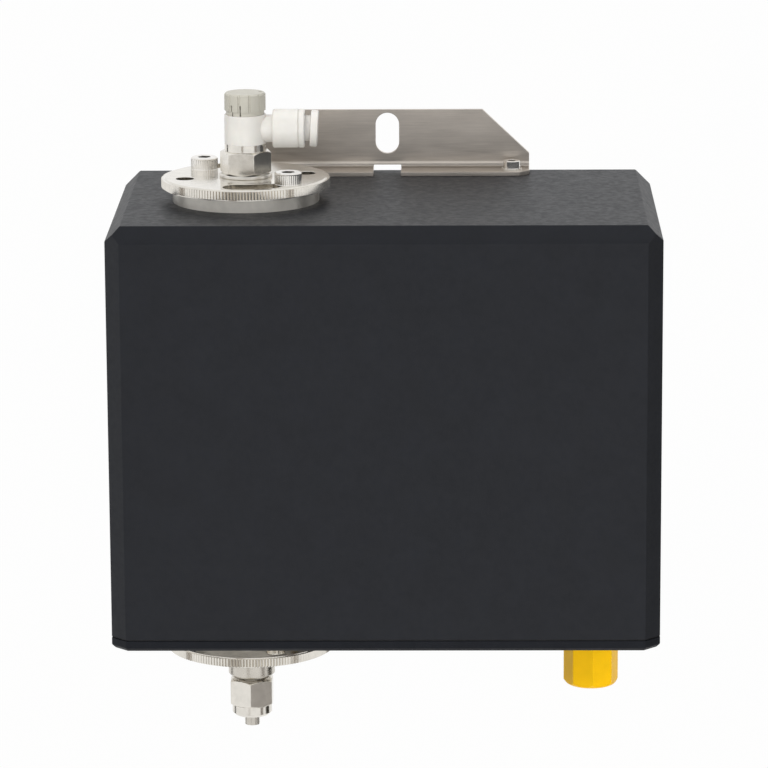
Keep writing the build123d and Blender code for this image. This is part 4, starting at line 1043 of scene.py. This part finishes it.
def photograph_camera():
    """A long lens, a little above the sensor and almost square to its front."""
    data = bpy.data.cameras.new("photograph")
    data.sensor_width = 36
    data.lens = 209.85
    camera = bpy.data.objects.new("photograph", data)
    bpy.context.scene.collection.objects.link(camera)
    place = Vector((20.92 * mm, -1513.1 * mm, 261.07 * mm))
    yaw, pitch, roll = -0.0149, 0.2270, -0.0052
    ahead = Vector((sin(yaw) * cos(pitch), cos(yaw) * cos(pitch), -sin(pitch)))
    right = Vector((cos(yaw), -sin(yaw), 0))
    up = right.cross(ahead)
    level_right = cos(roll) * right + sin(roll) * up
    level_up = -sin(roll) * right + cos(roll) * up
    turn = Matrix((level_right, level_up, -ahead)).transposed().to_4x4()
    camera.matrix_world = Matrix.Translation(place) @ turn
    bpy.context.scene.camera = camera


class SENSOR_OT_stage(bpy.types.Operator):
    """Make the pale floor, the white room, the soft lamps, the cards and the camera"""

    bl_idname = "sensor.stage"
    bl_label = "Studio"

    def execute(self, context):
        context.scene.view_settings.view_transform = "Standard"
        white_room()
        floor_level, middle = -2.4, (0, -0.05, -0.08)
        pale_floor(floor_level)
        soft_lamp("key_lamp", (-1.3, -1.4, 1.1), middle, (1.4, 1.1), 28)
        soft_lamp("fill_lamp", (1.4, -1.4, 0.6), middle, (1.2, 1.2), 8)
        soft_lamp("low_front_lamp", (0.2, -1.7, -0.45), (0.03, -0.05, -0.15), (1.0, 0.5), 13)
        soft_lamp("top_lamp", (0.1, 0.5, 1.5), middle, (1.2, 1.0), 14)
        reflector("dark_card_right", (1.35, 0.28, -0.3), middle, (0.75, 1.3), "#37352f")
        reflector("grey_card_right", (1.15, -0.75, -0.35), middle, (0.4, 1.1), "#948f8b")
        reflector("grey_card_front", (-0.45, -1.55, -0.42), middle, (0.3, 0.5), "#a19a92")
        reflector("dark_card_left", (-1.3, 0.55, -0.3), middle, (0.3, 1.3), "#45423e")
        reflector("dark_ceiling", (0, -0.9, 1.7), middle, (1.8, 0.9), "#2c2c2c")
        photograph_camera()
        return {"FINISHED"}


class SENSOR_PT_panel(bpy.types.Panel):
    """The steps that build the sensor"""

    bl_label = "Turbidity sensor"
    bl_idname = "SENSOR_PT_panel"
    bl_space_type = "VIEW_3D"
    bl_region_type = "UI"
    bl_category = "Sensor"

    def draw(self, context):
        for step in STEPS:
            self.layout.operator(step.bl_idname)
        for group in (context.scene.sensor_finish, context.scene.sensor_sizes):
            for key in group.bl_rna.properties.keys():
                if key not in ("rna_type", "name"):
                    self.layout.prop(group, key)


STEPS = (
    SENSOR_OT_finishes,
    SENSOR_OT_housing,
    SENSOR_OT_bracket,
    SENSOR_OT_discs,
    SENSOR_OT_screws,
    SENSOR_OT_regulator,
    SENSOR_OT_fitting,
    SENSOR_OT_connector,
    SENSOR_OT_stage,
)
CLASSES = (SensorFinish, SensorSizes) + STEPS + (SENSOR_PT_panel,)


def register():
    for cls in CLASSES:
        bpy.utils.register_class(cls)
    bpy.types.Scene.sensor_finish = bpy.props.PointerProperty(type=SensorFinish)
    bpy.types.Scene.sensor_sizes = bpy.props.PointerProperty(type=SensorSizes)


def unregister():
    del bpy.types.Scene.sensor_sizes
    del bpy.types.Scene.sensor_finish
    for cls in reversed(CLASSES):
        bpy.utils.unregister_class(cls)


def main():
    """Registers the add-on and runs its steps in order."""
    register()
    for step in STEPS:
        group, name = step.bl_idname.split(".")
        getattr(getattr(bpy.ops, group), name)()
    clear_selection()


if __name__ == "__main__":
    main()
